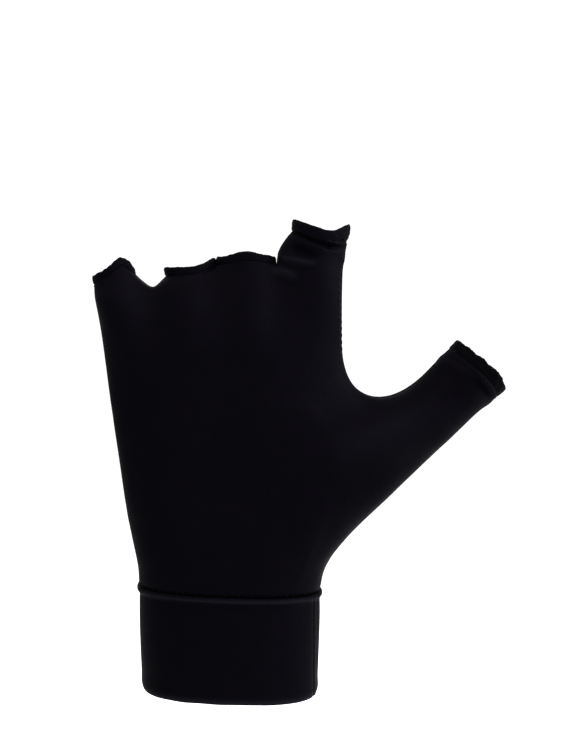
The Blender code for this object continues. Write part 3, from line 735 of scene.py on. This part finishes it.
        def section(way):
            inner, outer = self.thumb_edges(way * reach)
            depth = along(THUMB_SECTIONS, way * reach)[2] * size.thumb_depth / 2
            rise = size.thumb_width * way
            return self.round_section(inner, outer, self.thumb_axis, depth, steps, THUMB_EDGE, rise)

        return self.sleeve(base, section, THUMB_ROWS)

    def finger_sleeve(self, finger, base):
        """One finger's sleeve, from its foot to the lower edge of its hem."""
        size = self.size
        axis, side, middle = self.opening_frame(finger)
        top = middle - axis * (size.hems[finger] + SEAM_GAP)
        width = size.widths[finger]
        feet = [line.co.copy() for line in (base[0][0], base[0][-1])]
        tops = [top + side * sign * width / 2 for sign in (-1, 1)]
        foot_depth = HAND_SECTIONS[-1][1] * size.palm_depth
        steps = len(base[0]) - 1
        flares = FINGER_FLARES[finger]

        def section(way):
            flare = math.sin(math.pi * way**FLARE_SKEW) * width
            inner = blend(feet[0], tops[0], way) + side * flares[0] * flare
            outer = blend(feet[1], tops[1], way) + side * flares[1] * flare
            depth = blend(foot_depth, width / 2, way)
            return self.round_section(inner, outer, axis, depth, steps, OPENING_EDGES[finger], width * way)

        return self.sleeve(base, section, FINGER_ROWS[finger])

    def opening_frame(self, finger):
        """The way a finger's opening faces, the way across it, and its middle."""
        size = self.size
        lean = size.leans[finger]
        axis = Vector((math.sin(lean), 0, math.cos(lean)))
        side = Vector((math.cos(lean), 0, -math.sin(lean)))
        foot = self.row_left + sum(size.feet[:finger]) + size.feet[finger] / 2
        middle = Vector((foot + size.steps[finger], 0, size.row_height + size.rises[finger]))
        return axis, side, middle

    def thumb_frame(self):
        """The way the thumb's opening faces, the way across it, and its middle."""
        inner, outer = self.thumb_edges(1)
        return self.thumb_axis, self.thumb_side, (inner + outer) / 2

    def smooth(self, kept):
        """Evens out the surface's depth, and its flow round the crotch, but not its edges or outline."""
        loose = [vert for vert in self.mesh.verts if vert not in kept]
        for _ in range(SMOOTHINGS):
            bmesh.ops.smooth_vert(self.mesh, verts=loose, factor=0.5, use_axis_y=True)
        crotch = self.thumb_edges(0)[0]
        reach = CROTCH_SMOOTHED * self.size.thumb_width
        left, right, foot, top = BALL_BOX
        ball = [vert for vert in loose if left < vert.co.x < right and foot < vert.co.z < top]
        for _ in range(BALL_SMOOTHINGS):
            bmesh.ops.smooth_vert(self.mesh, verts=ball, factor=0.5, use_axis_y=True)
        near = [vert for vert in loose if (vert.co - crotch).length < reach]
        for _ in range(CROTCH_SMOOTHINGS):
            bmesh.ops.smooth_vert(
                self.mesh, verts=near, factor=0.5, use_axis_x=True, use_axis_y=True, use_axis_z=True
            )

    def even_cloth(self):
        """Evens out the places on the flat cloth, so that the knit runs on through the forks."""
        for _ in range(6):
            moved = {}
            for vert in self.mesh.verts:
                near = [edge.other_vert(vert) for edge in vert.link_edges]
                strays = [other[self.flat] - Vector((other.co.x, other.co.z, 0)) for other in near]
                moved[vert] = sum(strays, Vector()) / len(strays)
            for vert, stray in moved.items():
                here = Vector((vert.co.x, vert.co.z, 0))
                vert[self.flat] = blend(vert[self.flat], here + stray, 0.5)

    def build(self):
        """Makes the surface, and keeps the rings at the wrist and at the five openings."""
        angles = self.hand_angles()
        rows = self.lower_rows(angles)
        lowest = rows[-1]
        crest = self.new_crest(self.thumb_edges(0)[0])
        crotch_web = self.web([line[self.fork_step] for line in lowest], crest, THUMB_WEB_STEPS)
        hand_base = [line[: self.fork_step] + path for line, path in zip(lowest, crotch_web)]
        thumb_end = self.thumb_sleeve(crotch_web, lowest)
        top = self.upper_rows(angles, hand_base)
        webs = [None]
        for corner, arch in zip(self.corners[1:-1], WEB_ARCHES):
            low = top[0][corner].co
            crest = self.new_crest((low.x, 0, low.z + arch * self.size.hems[0]))
            webs.append(self.web([line[corner] for line in top], crest, FINGER_WEB_STEPS))
        webs.append(None)
        ends = []
        for finger in range(len(FINGERS)):
            start, stop = self.corners[finger : finger + 2]
            base = []
            for panel in (0, 1):
                line = top[panel][start : stop + 1]
                if webs[finger]:
                    line = webs[finger][panel][:0:-1] + line
                if webs[finger + 1]:
                    line = line + webs[finger + 1][panel][1:]
                base.append(line)
            ends.append(self.finger_sleeve(finger, base))
        self.mesh.normal_update()
        kept = {vert for vert in self.mesh.verts if vert.is_boundary or on_seam(vert)}
        self.smooth(kept)
        self.even_cloth()
        self.mesh.normal_update()
        self.wrist = ring_of(rows[0])
        self.mouths = [ring_of(end) for end in ends] + [ring_of(thumb_end)]
        self.frames = [self.opening_frame(finger) for finger in range(len(FINGERS))] + [self.thumb_frame()]


def on_seam(element):
    """True for a point or an edge where the palm's and the back's panel meet."""
    return len({face.material_index for face in element.link_faces}) == 2


def skin(mesh, loops):
    """Adds the faces between closed loops of points, from each loop to the one after it."""
    for lower, upper in zip(loops, loops[1:]):
        for k in range(len(lower)):
            after = (k + 1) % len(lower)
            mesh.faces.new([lower[k], lower[after], upper[after], upper[k]])


def falloff(distance, reach):
    """A share of 1 at no distance, which falls off softly beyond a reach."""
    return math.exp(-((distance / reach) ** 2))


def rumple(spot, waves):
    """Soft unevenness of cloth at a place, from waves of a height and a length."""
    return sum(height * noise.noise(spot / span) for height, span in waves)


def subdivided(mesh, levels):
    """A finer mesh with the smooth surface of a cage, as a new bmesh. The cage is used up."""
    data = bpy.data.meshes.new("cage")
    mesh.to_mesh(data)
    mesh.free()
    cage = bpy.data.objects.new("cage", data)
    bpy.context.scene.collection.objects.link(cage)
    modifier = cage.modifiers.new("smooth", "SUBSURF")
    modifier.levels = modifier.render_levels = levels
    graph = bpy.context.evaluated_depsgraph_get()
    finer = bpy.data.meshes.new_from_object(
        cage.evaluated_get(graph), preserve_all_data_layers=True, depsgraph=graph
    )
    result = bmesh.new()
    result.from_mesh(finer)
    bpy.data.objects.remove(cage)
    bpy.data.meshes.remove(finer)
    bpy.data.meshes.remove(data)
    result.normal_update()
    return result


def chains(edges):
    """Open runs of edges, each as a list of its points in order."""
    links = {}
    for edge in edges:
        one, other = edge.verts
        links.setdefault(one, []).append(other)
        links.setdefault(other, []).append(one)
    seen = set()
    runs = []
    for start in links:
        if len(links[start]) > 1 or start in seen:
            continue
        run = [start]
        seen.add(start)
        while True:
            onward = [vert for vert in links[run[-1]] if vert not in seen]
            if not onward:
                break
            run.append(onward[0])
            seen.add(onward[0])
        runs.append(run)
    return runs


def spaced(points, spacing):
    """Evenly spaced places along a line of points: the place, and the way the line runs there."""
    spots = []
    gone = spacing / 2
    for start, stop in zip(points, points[1:]):
        span = (stop - start).length
        while gone < span:
            spots.append((blend(start, stop, gone / span), (stop - start).normalized()))
            gone += spacing
        gone -= span
    return spots


def fold_height(spot, frame_of, folds, width):
    """How far the folds of a sleeve lift its cloth at a place."""
    axis, side, middle = frame_of
    offset = spot - middle
    here = Vector((offset.dot(side), offset.dot(axis))) / width
    height = 0
    for start, end, reach, strength in folds:
        run = Vector(end) - Vector(start)
        share = min(max((here - Vector(start)).dot(run) / run.length_squared, 0), 1)
        off = (here - Vector(start) - run * share).length
        fade = 0.35 + 0.65 * math.sin(math.pi * (0.15 + 0.7 * share))
        height += strength * fade * falloff(off, reach)
    return height * width


def new_object(name, mesh, material):
    """A shown object from a bmesh, which is used up."""
    data = bpy.data.meshes.new(name)
    mesh.to_mesh(data)
    mesh.free()
    data.materials.clear()
    data.materials.append(material)
    for face in data.polygons:
        face.material_index = 0
    data.shade_smooth()
    thing = bpy.data.objects.new(name, data)
    bpy.context.scene.collection.objects.link(thing)
    return thing


def thicken(piece, thickness):
    """Gives a skin its thickness, inward."""
    modifier = piece.modifiers.new("thickness", "SOLIDIFY")
    modifier.thickness = thickness
    modifier.offset = -1


def thread_mesh(spots, thickness):
    """Stitches as short bowed threads. A spot is its place, the way it runs, the way out and its length."""
    mesh = bmesh.new()
    sides, parts = 6, 6
    for place, run, out, span in spots:
        out = (out - run * out.dot(run)).normalized()
        across = run.cross(out)
        rings = []
        for part in range(parts + 1):
            turn = math.pi * part / parts
            radius = thickness / 2 * (0.45 + 0.55 * math.sin(turn))
            middle = place - run * math.cos(turn) * span / 2
            middle += out * thickness * (math.sin(turn) * THREAD_BOW - THREAD_SINK)
            ring = []
            for side in range(sides):
                angle = 2 * math.pi * side / sides
                way = across * math.cos(angle) + out * math.sin(angle)
                ring.append(mesh.verts.new(middle + way * radius))
            rings.append(ring)
        skin(mesh, rings)
        mesh.faces.new(rings[0][::-1])
        mesh.faces.new(rings[-1])
    mesh.normal_update()
    return mesh


def add(tree, kind, inputs=(), **settings):
    """Adds a node. Inputs are values or other nodes' outputs by the name or number of the socket."""
    node = tree.nodes.new(kind)
    for name, value in settings.items():
        setattr(node, name, value)
    for name, value in dict(inputs).items():
        if isinstance(value, bpy.types.NodeSocket):
            tree.links.new(value, node.inputs[name])
        else:
            node.inputs[name].default_value = value
    return node


def knit_height(tree, cloth):
    """Height of the knit above its hollows, from 0 to 1: columns of loops, each a row of small arrowheads.

    The real knit has about 20 columns to a centimetre. It is drawn half as fine, so that it shows.
    """
    place = add(tree, "ShaderNodeAttribute", attribute_name="cloth")
    parts = add(tree, "ShaderNodeSeparateXYZ", {0: place.outputs["Vector"]})
    half = add(tree, "ShaderNodeMath", {0: parts.outputs["X"], 1: cloth.wale / 2}, operation="PINGPONG")
    turns = 2 * math.pi / cloth.wale
    leg = add(tree, "ShaderNodeMath", {0: half.outputs[0], 1: turns}, operation="MULTIPLY")
    column = add(tree, "ShaderNodeMath", {0: leg.outputs[0]}, operation="SINE")
    rows = add(
        tree, "ShaderNodeMath", {0: parts.outputs["Y"], 1: 2 * math.pi / cloth.course}, operation="MULTIPLY"
    )
    slanted = {0: leg.outputs[0], 1: 0.9, 2: rows.outputs[0]}
    slant = add(tree, "ShaderNodeMath", slanted, operation="MULTIPLY_ADD")
    loop = add(tree, "ShaderNodeMath", {0: slant.outputs[0]}, operation="SINE")
    loops = add(tree, "ShaderNodeMath", {0: loop.outputs[0], 1: 0.28, 2: 0.62}, operation="MULTIPLY_ADD")
    knit = add(tree, "ShaderNodeMath", {0: column.outputs[0], 1: loops.outputs[0]}, operation="MULTIPLY")
    return knit.outputs[0]


def jersey(name, yarn, shade, roughness, sheen):
    """Black nylon and elastane jersey, circular knitted and dyed in the piece.

    Its fine loops scatter light and hide the gloss of the yarn, and stray fibres catch light at the edges.
    Its colour carries painted shade between the loops, along seams and in the hollows of folds, and painted
    highlight on crests and edges.
    """
    cloth, colors = bpy.context.scene.glove_cloth, bpy.context.scene.glove_colors
    material, tree = new_material(name)
    knit = knit_height(tree, cloth)
    seam = add(tree, "ShaderNodeAttribute", attribute_name="seam").outputs["Fac"]
    hollow_and_painted_shade = add(
        tree,
        "ShaderNodeMapRange",
        {"Value": seam, "From Min": HOLLOW_START, "From Max": HOLLOW_STOP},
        interpolation_type="SMOOTHSTEP",
    ).outputs[0]
    object_place = add(tree, "ShaderNodeTexCoord").outputs["Object"]
    # Slubs of the yarn, 5 mm apart, and the fuzz of its surface, half a millimetre apart
    slubs = add(tree, "ShaderNodeTexNoise", {"Vector": object_place, "Scale": 1 / 0.005, "Detail": 3.0})
    fuzz = add(tree, "ShaderNodeTexNoise", {"Vector": object_place, "Scale": 1 / 0.0005, "Detail": 2.0})
    lift = add(tree, "ShaderNodeMath", {0: knit, 1: cloth.relief}, operation="MULTIPLY").outputs[0]
    for source, height in ((fuzz.outputs["Fac"], cloth.relief * 0.5), (hollow_and_painted_shade, cloth.groove * 0.6)):
        raised = add(tree, "ShaderNodeMath", {0: source, 1: height, 2: lift}, operation="MULTIPLY_ADD")
        lift = raised.outputs[0]
    bump = add(tree, "ShaderNodeBump", {"Height": lift, "Distance": 1.0, "Strength": 1.0})
    mottle = add(
        tree, "ShaderNodeMath", {0: slubs.outputs["Fac"], 1: 0.5, 2: 0.1}, operation="MULTIPLY_ADD"
    ).outputs[0]
    # Painted shade: the colour darkens towards the shade colour in the hollows between the loops and near a
    # seam, and the yarn's slubs vary it at random
    depth = add(tree, "ShaderNodeMath", {0: knit, 1: 0.65, 2: mottle}, operation="MULTIPLY_ADD")
    depths = {0: depth.outputs[0], 1: hollow_and_painted_shade}
    share = add(tree, "ShaderNodeMath", depths, operation="MULTIPLY", use_clamp=True)
    # Inputs 0, 6 and 7 of a colour mix are its share and its two colours
    tone = add(
        tree,
        "ShaderNodeMix",
        {0: share.outputs[0], 6: (*shade, 1), 7: (*yarn, 1)},
        data_type="RGBA",
    )
    # Painted highlight: a paler colour on fold crests, the ball of the thumb, the cuff's bead and its rim,
    # where light catches them
    highlight_paint = add(tree, "ShaderNodeAttribute", attribute_name="painted_highlight").outputs["Fac"]
    tone = add(
        tree, "ShaderNodeMix", {0: highlight_paint, 6: tone.outputs[2], 7: (*colors.highlight_paint, 1)}, data_type="RGBA"
    )
    # Nylon's refraction is 1.53, and its gloss is held down because the loops trap most of it
    shader = add(
        tree,
        "ShaderNodeBsdfPrincipled",
        {
            "Base Color": tone.outputs[2],
            "Metallic": 0.0,
            "Roughness": roughness,
            "IOR": 1.53,
            "Specular IOR Level": 0.003,
            "Sheen Weight": sheen,
            "Sheen Roughness": 0.4,
            "Sheen Tint": (*colors.sheen, 1),
            "Normal": bump.outputs[0],
        },
    )
    add(tree, "ShaderNodeOutputMaterial", {"Surface": shader.outputs[0]})
    return material


def thread_finish():
    """Black polyester sewing thread, twisted and a little glossier than the jersey."""
    material, tree = new_material("polyester_thread")
    place = add(tree, "ShaderNodeTexCoord").outputs["Object"]
    # The thread's twist turns about once in 0.6 mm
    twist = add(
        tree,
        "ShaderNodeTexWave",
        {"Vector": place, "Scale": math.pi / 10 / 0.0006, "Distortion": 1.5},
        bands_direction="DIAGONAL",
    )
    bump = add(tree, "ShaderNodeBump", {"Height": twist.outputs["Fac"], "Distance": 0.00004})
    shader = add(
        tree,
        "ShaderNodeBsdfPrincipled",
        {
            "Base Color": (*bpy.context.scene.glove_colors.thread, 1),
            "Metallic": 0.0,
            "Roughness": 0.55,
            "IOR": 1.57,
            "Specular IOR Level": 0.02,
            "Normal": bump.outputs[0],
        },
    )
    add(tree, "ShaderNodeOutputMaterial", {"Surface": shader.outputs[0]})
    return material


def new_material(name):
    """A material with an empty node tree, and that tree."""
    material = bpy.data.materials.new(name)
    material.use_nodes = True
    material.node_tree.nodes.clear()
    return material, material.node_tree


def find_or_make(name, make):
    """A material by its name, made where it isn't there yet."""
    return bpy.data.materials.get(name) or make()


def body_finish():
    """The body's jersey."""
    colors = bpy.context.scene.glove_colors
    return jersey("nylon_jersey_body", colors.jersey, colors.shade, 0.50, 0.003)


def form_of(scene):
    """The glove's surface for the scene's sizes."""
    return GloveForm(scene.glove_sizes)


class GLOVE_OT_body(bpy.types.Operator):
    """Builds the knitted body of the glove: both panels as one stretched skin, with its seams and folds"""

    bl_idname = "glove.body"
    bl_label = "Body"

    def execute(self, context):
        scene = context.scene
        form = form_of(scene)
        cloth = scene.glove_cloth
        mesh = subdivided(form.mesh, 2)
        frames = form.frames
        widths = list(scene.glove_sizes.widths)
        row = Vector((scene.glove_sizes.row_shift, 0, scene.glove_sizes.row_height))
        palm_frame = Vector((0, 0, 1)), Vector((1, 0, 0)), row
        near_mouth = []
        for face in mesh.faces:
            offset = face.calc_center_median() - frames[3][2]
            if face.material_index == 0 and offset.length < FINE_REACH * widths[3]:
                near_mouth.append(face)
        edges = {edge for face in near_mouth for edge in face.edges}
        bmesh.ops.subdivide_edges(mesh, edges=list(edges), cuts=1, use_grid_fill=True)
        mesh.normal_update()
        runs = chains([edge for edge in mesh.edges if on_seam(edge)])
        low = scene.glove_sizes.row_height / 3
        foot = [vert for vert in mesh.verts if vert.is_boundary and vert.co.z < low]
        places = [spot for run in runs for spot, _ in spaced([vert.co for vert in run], GROOVE_SPACING)]
        places += [vert.co.copy() for vert in foot]
        guide = KDTree(len(places))
        for number, spot in enumerate(places):
            guide.insert(spot, number)
        guide.balance()
        seam = mesh.verts.layers.float.new("seam")
        painted_highlight = mesh.verts.layers.float.new("painted_highlight")
        moves = []
        for vert in mesh.verts:
            distance = guide.find(vert.co)[2]
            # The distance to a seam or to the lower edge sets the groove's dip here and its painted shade in
            # the material
            vert[seam] = distance
            dip = cloth.groove * falloff(distance, GROOVE_REACH)
            height = rumple(vert.co, BODY_WAVES) * min(distance / WAVE_INSET, 1) - dip
            if vert.normal.y < PALM_FACING:
                fold = fold_height(vert.co, frames[3], INDEX_FOLDS, widths[3])
                fold += fold_height(vert.co, frames[4], THUMB_FOLDS, scene.glove_sizes.thumb_width)
                swell = fold_height(vert.co, palm_frame, PALM_SWELLS, form.row_width)
                height += fold + swell * ease(distance / SWELL_INSET)
                # Painted highlight: fold crests and the tops of the swells get a paler colour in the
                # material
                vert[painted_highlight] = CREST_HIGHLIGHT * (ease(fold / FOLD_SHADE_AND_HIGHLIGHT) + ease(swell / SWELL_HIGHLIGHT_FULL))
                # The hollow of a fold gets painted shade in the material, like the hollow along a seam
                if fold < 0:
                    shaded = blend(HOLLOW_STOP, HOLLOW_START, ease(-fold / FOLD_SHADE_AND_HIGHLIGHT))
                    vert[seam] = min(distance, shaded)
            moves.append(vert.normal * height)
        for vert, move in zip(mesh.verts, moves):
            vert.co += move
        body = new_object("body", mesh, find_or_make("nylon_jersey_body", body_finish))
        thicken(body, cloth.jersey)
        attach(body, "root")
        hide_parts("palm_panel", "back_panel")
        return {"FINISHED"}


class GLOVE_OT_cuff(bpy.types.Operator):
    """Builds the doubled cuff, folded at its rim and sewn to the body under a rolled bead"""

    bl_idname = "glove.cuff"
    bl_label = "Cuff"

    def execute(self, context):
        scene = context.scene
        size, cloth = scene.glove_sizes, scene.glove_cloth
        form = form_of(scene)
        ring = form.wrist
        form.mesh.free()
        height, thick, bead = size.cuff_height, cloth.cuff, cloth.bead
        profile = [(out * bead, height + up * bead) for out, up in BEAD_PROFILE]
        profile += [(out * thick, up * height) for out, up in WALL_PROFILE]
        profile += [(out * thick, up * thick) for out, up in RIM_PROFILE]
        profile += [(-thick, up * height) for up in LINING_ROWS]
        mesh = bmesh.new()
        flat = mesh.verts.layers.float_vector.new("cloth")
        seam = mesh.verts.layers.float.new("seam")
        rings = []
        for out, up in profile:
            share = up / height
            wide = blend(size.rim_width / size.wrist_width, 1, share)
            deep = blend(size.rim_depth / size.wrist_depth, 1, share)
            level = [Vector((point.x * wide, point.y * deep, 0)) for point in ring]
            loop = []
            gone = 0
            for number, (point, way) in enumerate(zip(level, outward(level, Vector((0, 0, 1))))):
                spot = point + way * out
                spot.z = up - math.tan(size.cuff_tilt) * spot.x
                vert = mesh.verts.new(spot)
                gone += (point - level[number - 1]).length
                vert[flat] = (gone, up, 0)
                vert[seam] = NO_SEAM
                loop.append(vert)
            rings.append(loop)
        skin(mesh, rings[::-1])
        mesh = subdivided(mesh, 2)
        seam = mesh.verts.layers.float.get("seam")
        painted_highlight = mesh.verts.layers.float.new("painted_highlight")
        # The side seam is a double line up the palm's side near the thumb's edge
        line = CUFF_SEAM_PLACE * size.wrist_width
        for vert in mesh.verts:
            up = vert.co.z + math.tan(size.cuff_tilt) * vert.co.x
            outer = vert.normal.xy.dot(vert.co.xy) > 0
            distance = abs(abs(vert.co.x - line) - CUFF_SEAM_HALF) * CUFF_SEAM_BEND
            if vert.co.y > 0 or not outer:
                distance = 1
            # The distance to the seam's two lines sets the painted shade along them in the material
            vert[seam] = distance + CUFF_SEAM_SHADE
            if not outer:
                continue
            # Painted highlight along the crest of the bead and round the rim
            crest = falloff(up - height + bead, 0.5 * bead)
            rim = falloff(up + 0.1 * thick, 0.5 * thick)
            vert[painted_highlight] = BEAD_HIGHLIGHT * crest + RIM_HIGHLIGHT * rim
            dip = CUFF_SEAM_DEPTH * cloth.groove * falloff(distance, CUFF_SEAM_REACH)
            ripple = rumple(Vector((vert.co.x, vert.co.y, up * CUFF_WAVE_FLATNESS)), CUFF_WAVES)
            pucker = rumple(vert.co, PUCKER_WAVES) * falloff(up - height, PUCKER_REACH)
            vert.co += vert.normal * (ripple + pucker - dip)
        colors = scene.glove_colors
        finish = jersey("nylon_jersey_cuff", colors.jersey, colors.shade, 0.48, 0.003)
        cuff = new_object("cuff", mesh, finish)
        thicken(cuff, cloth.jersey)
        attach(cuff, "root")
        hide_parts("wrist_cuff")
        return {"FINISHED"}


class GLOVE_OT_hems(bpy.types.Operator):
    """Builds the turned hem round each of the five openings"""

    bl_idname = "glove.hems"
    bl_label = "Hems"

    def execute(self, context):
        scene = context.scene
        size, cloth, colors = scene.glove_sizes, scene.glove_cloth, scene.glove_colors
        form = form_of(scene)
        form.mesh.free()
        heights = list(size.hems) + [size.thumb_hem]
        names = FINGERS + ("thumb",)
        dark = jersey("nylon_jersey_hem", colors.hem, colors.shade, 0.55, 0.002)
        same = find_or_make("nylon_jersey_body", body_finish)
        for name, ring, (axis, _, middle), height in zip(names, form.mouths, form.frames, heights):
            ways = outward(ring, axis)
            mesh = bmesh.new()
            flat = mesh.verts.layers.float_vector.new("cloth")
            seam = mesh.verts.layers.float.new("seam")
            loops = []
            gone = [0.0]
            for before, after in zip(ring, ring[1:]):
                gone.append(gone[-1] + (after - before).length)
            for out, up in HEM_PROFILE:
                lift = axis * (SEAM_GAP + up * height)
                loop = []
                for point, way, distance in zip(ring, ways, gone):
                    vert = mesh.verts.new(point + way * out * cloth.hem + lift)
                    vert[flat] = (distance, up * height, 0)
                    vert[seam] = NO_SEAM
                    loop.append(vert)
                loops.append(loop)
            skin(mesh, loops + loops[:1])
            mesh = subdivided(mesh, 3)
            ragged = THUMB_RAGGED if name == "thumb" else 1.0
            for vert in mesh.verts:
                up = (vert.co - middle).dot(axis) / height + 1
                wave = rumple(vert.co, HEM_WAVES)
                vert.co += (vert.normal * 0.6 + axis * 0.8 * max(up, 0)) * wave * ragged
            hem = new_object(name + "_edge", mesh, dark if name == "thumb" else same)
            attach(hem, "root")
            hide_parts(name + "_hem")
        return {"FINISHED"}


def paper_finish():
    """Matt white paper, pressed and uncoated: it has a fine grain of 2 mm and no gloss."""
    material, tree = new_material("matt_paper")
    place = add(tree, "ShaderNodeTexCoord").outputs["Object"]
    grain = add(tree, "ShaderNodeTexNoise", {"Vector": place, "Scale": 1 / 0.002})
    bump = add(tree, "ShaderNodeBump", {"Height": grain.outputs["Fac"], "Distance": 0.00005})
    shader = add(
        tree,
        "ShaderNodeBsdfPrincipled",
        {
            "Base Color": (*bpy.context.scene.glove_colors.floor, 1),
            "Roughness": 0.9,
            "Specular IOR Level": 0.0,
            "Normal": bump.outputs[0],
        },
    )
    add(tree, "ShaderNodeOutputMaterial", {"Surface": shader.outputs[0]})
    return material


class GLOVE_OT_stage(bpy.types.Operator):
    """Sets the pale floor, the soft lights and the camera"""

    bl_idname = "glove.stage"
    bl_label = "Stage"

    def execute(self, context):
        scene = context.scene
        colors = scene.glove_colors
        world = bpy.data.worlds.new("surroundings")
        world.use_nodes = True
        background = world.node_tree.nodes["Background"]
        background.inputs["Color"].default_value = (*colors.backdrop, 1)
        background.inputs["Strength"].default_value = 1.1
        scene.world = world
        mesh = bmesh.new()
        level = Matrix.Translation((0, 0, FLOOR_HEIGHT))
        bmesh.ops.create_grid(mesh, x_segments=24, y_segments=24, size=FLOOR_HALF, matrix=level)
        floor = new_object("floor", mesh, paper_finish())
        aim = Vector((0.0167, 0, 0.0967))
        # Each lamp's name, place, width in metres, watts and tint
        lamps = (
            ("key", (0.42, -0.03, 0.30), 0.30, 7.5, (0.90, 0.96, 1.0)),
            ("fill", (-0.26, -0.14, 0.42), 0.22, 1.2, (1.0, 0.98, 0.92)),
            ("top", (0.06, -0.14, 0.38), 0.16, 1.2, (1.0, 0.97, 1.0)),
        )
        for name, place, width, power, tint in lamps:
            data = bpy.data.lights.new(name, "AREA")
            data.shape = "SQUARE"
            data.size = width
            data.energy = power
            data.color = tint
            lamp = bpy.data.objects.new(name, data)
            lamp.location = place
            lamp.rotation_euler = (aim - Vector(place)).to_track_quat("-Z", "Y").to_euler()
            scene.collection.objects.link(lamp)
        data = bpy.data.cameras.new("camera")
        camera = bpy.data.objects.new("camera", data)
        scene.collection.objects.link(camera)
        camera.location = (0.0077, -0.440, 0.130)
        camera.rotation_euler = (aim - camera.location).to_track_quat("-Z", "Y").to_euler()
        data.sensor_width = 36
        data.lens = 68.2
        data.clip_start = 0.01
        scene.camera = camera
        scene.view_settings.view_transform = "Standard"
        return {"FINISHED"}


class GLOVE_OT_stitches(bpy.types.Operator):
    """Sews the panel seams, the index finger's side, the hems and the cuff with small bowed stitches"""

    bl_idname = "glove.stitches"
    bl_label = "Stitches"

    def execute(self, context):
        cloth = context.scene.glove_cloth
        form = form_of(context.scene)
        mesh = subdivided(form.mesh, 2)
        body = bpy.data.objects["body"]
        graph = context.evaluated_depsgraph_get()
        surface = BVHTree.FromObject(body, graph)
        finish = find_or_make("polyester_thread", thread_finish)
        spots = []
        for run in chains([edge for edge in mesh.edges if on_seam(edge)]):
            line = [vert.co.copy() for vert in run]
            spots += sewn(surface, line, cloth.stitch * 0.55, cloth.stitch * 0.75, 1.8)
        mesh.free()
        lines = [("seam_stitches", spots, cloth.thread)]
        spots = []
        for inset in TOPSTITCH_INSETS:
            shown = []
            for step in range(41):
                point = form_edge(form, step / 40) - Vector((inset, 0, 0))
                hit = surface.ray_cast(Vector((point.x, -0.1, point.z)), Vector((0, 1, 0)))[0]
                if hit:
                    shown.append(hit)
            spots += sewn(surface, shown, cloth.stitch, cloth.stitch * 0.7)
        lines.append(("index_topstitches", spots, cloth.thread * 0.8))
        spots = []
        for ring, (axis, _, _) in zip(form.mouths, form.frames):
            line = [point - axis * HEM_STITCH_DROP for point in ring]
            spots += sewn(surface, line + line[:1], cloth.stitch * 0.8, cloth.stitch * 0.5)
        lines.append(("hem_stitches", spots, cloth.thread * 0.7))
        line = [point + Vector((0, 0, CUFF_STITCH_RISE)) for point in form.wrist]
        spots = sewn(surface, line + line[:1], cloth.stitch, cloth.stitch * 0.45, 1.2)
        lines.append(("cuff_stitches", spots, cloth.thread * 0.8))
        for name, spots, thickness in lines:
            row = new_object(name, thread_mesh(spots, thickness), finish)
            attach(row, "root")
        return {"FINISHED"}


def sewn(surface, line, spacing, span, slant=0.0):
    """Stitches along a line, laid on a surface. A slant turns them to and fro across the line."""
    spots = []
    for number, (spot, way) in enumerate(spaced(line, spacing)):
        near, out, _, _ = surface.find_nearest(spot)
        run = way + way.cross(out) * slant * (1 if number % 2 else -1)
        spots.append((near, run.normalized(), out, span))
    return spots


def form_edge(form, way):
    """The hand's edge beside the index finger, from above the crotch to its opening."""
    axis, side, middle = form.frames[3]
    top = middle - axis * (form.size.hems[3] + SEAM_GAP) + side * form.size.widths[3] / 2
    low = form.index_side(TOPSTITCH_START)
    foot = form.index_side(1)
    share = way * ((foot - low).length + (top - foot).length)
    if share < (foot - low).length:
        return blend(low, foot, share / (foot - low).length)
    return blend(foot, top, (share - (foot - low).length) / (top - foot).length)


OPERATORS = (GLOVE_OT_body, GLOVE_OT_cuff, GLOVE_OT_hems, GLOVE_OT_stitches, GLOVE_OT_stage)


class GLOVE_PT_sidebar(bpy.types.Panel):
    """Lists the steps that build the glove, and its sizes and colours"""

    bl_idname = "GLOVE_PT_sidebar"
    bl_label = "Compression glove"
    bl_space_type = "VIEW_3D"
    bl_region_type = "UI"
    bl_category = "Glove"

    def draw(self, context):
        for operator in OPERATORS:
            self.layout.operator(operator.bl_idname)
        for group in (context.scene.glove_sizes, context.scene.glove_cloth, context.scene.glove_colors):
            column = self.layout.column()
            for name in group.__annotations__:
                column.prop(group, name)


CLASSES = (GloveSizes, GloveCloth, GloveColors) + OPERATORS + (GLOVE_PT_sidebar,)


def register():
    for kind in CLASSES:
        bpy.utils.register_class(kind)
    bpy.types.Scene.glove_sizes = PointerProperty(type=GloveSizes)
    bpy.types.Scene.glove_cloth = PointerProperty(type=GloveCloth)
    bpy.types.Scene.glove_colors = PointerProperty(type=GloveColors)


def unregister():
    del bpy.types.Scene.glove_colors
    del bpy.types.Scene.glove_cloth
    del bpy.types.Scene.glove_sizes
    for kind in reversed(CLASSES):
        bpy.utils.unregister_class(kind)


def main():
    register()
    bpy.ops.glove.body()
    bpy.ops.glove.cuff()
    bpy.ops.glove.hems()
    bpy.ops.glove.stitches()
    bpy.ops.glove.stage()
    bpy.context.view_layer.update()


if __name__ == "__main__":
    main()
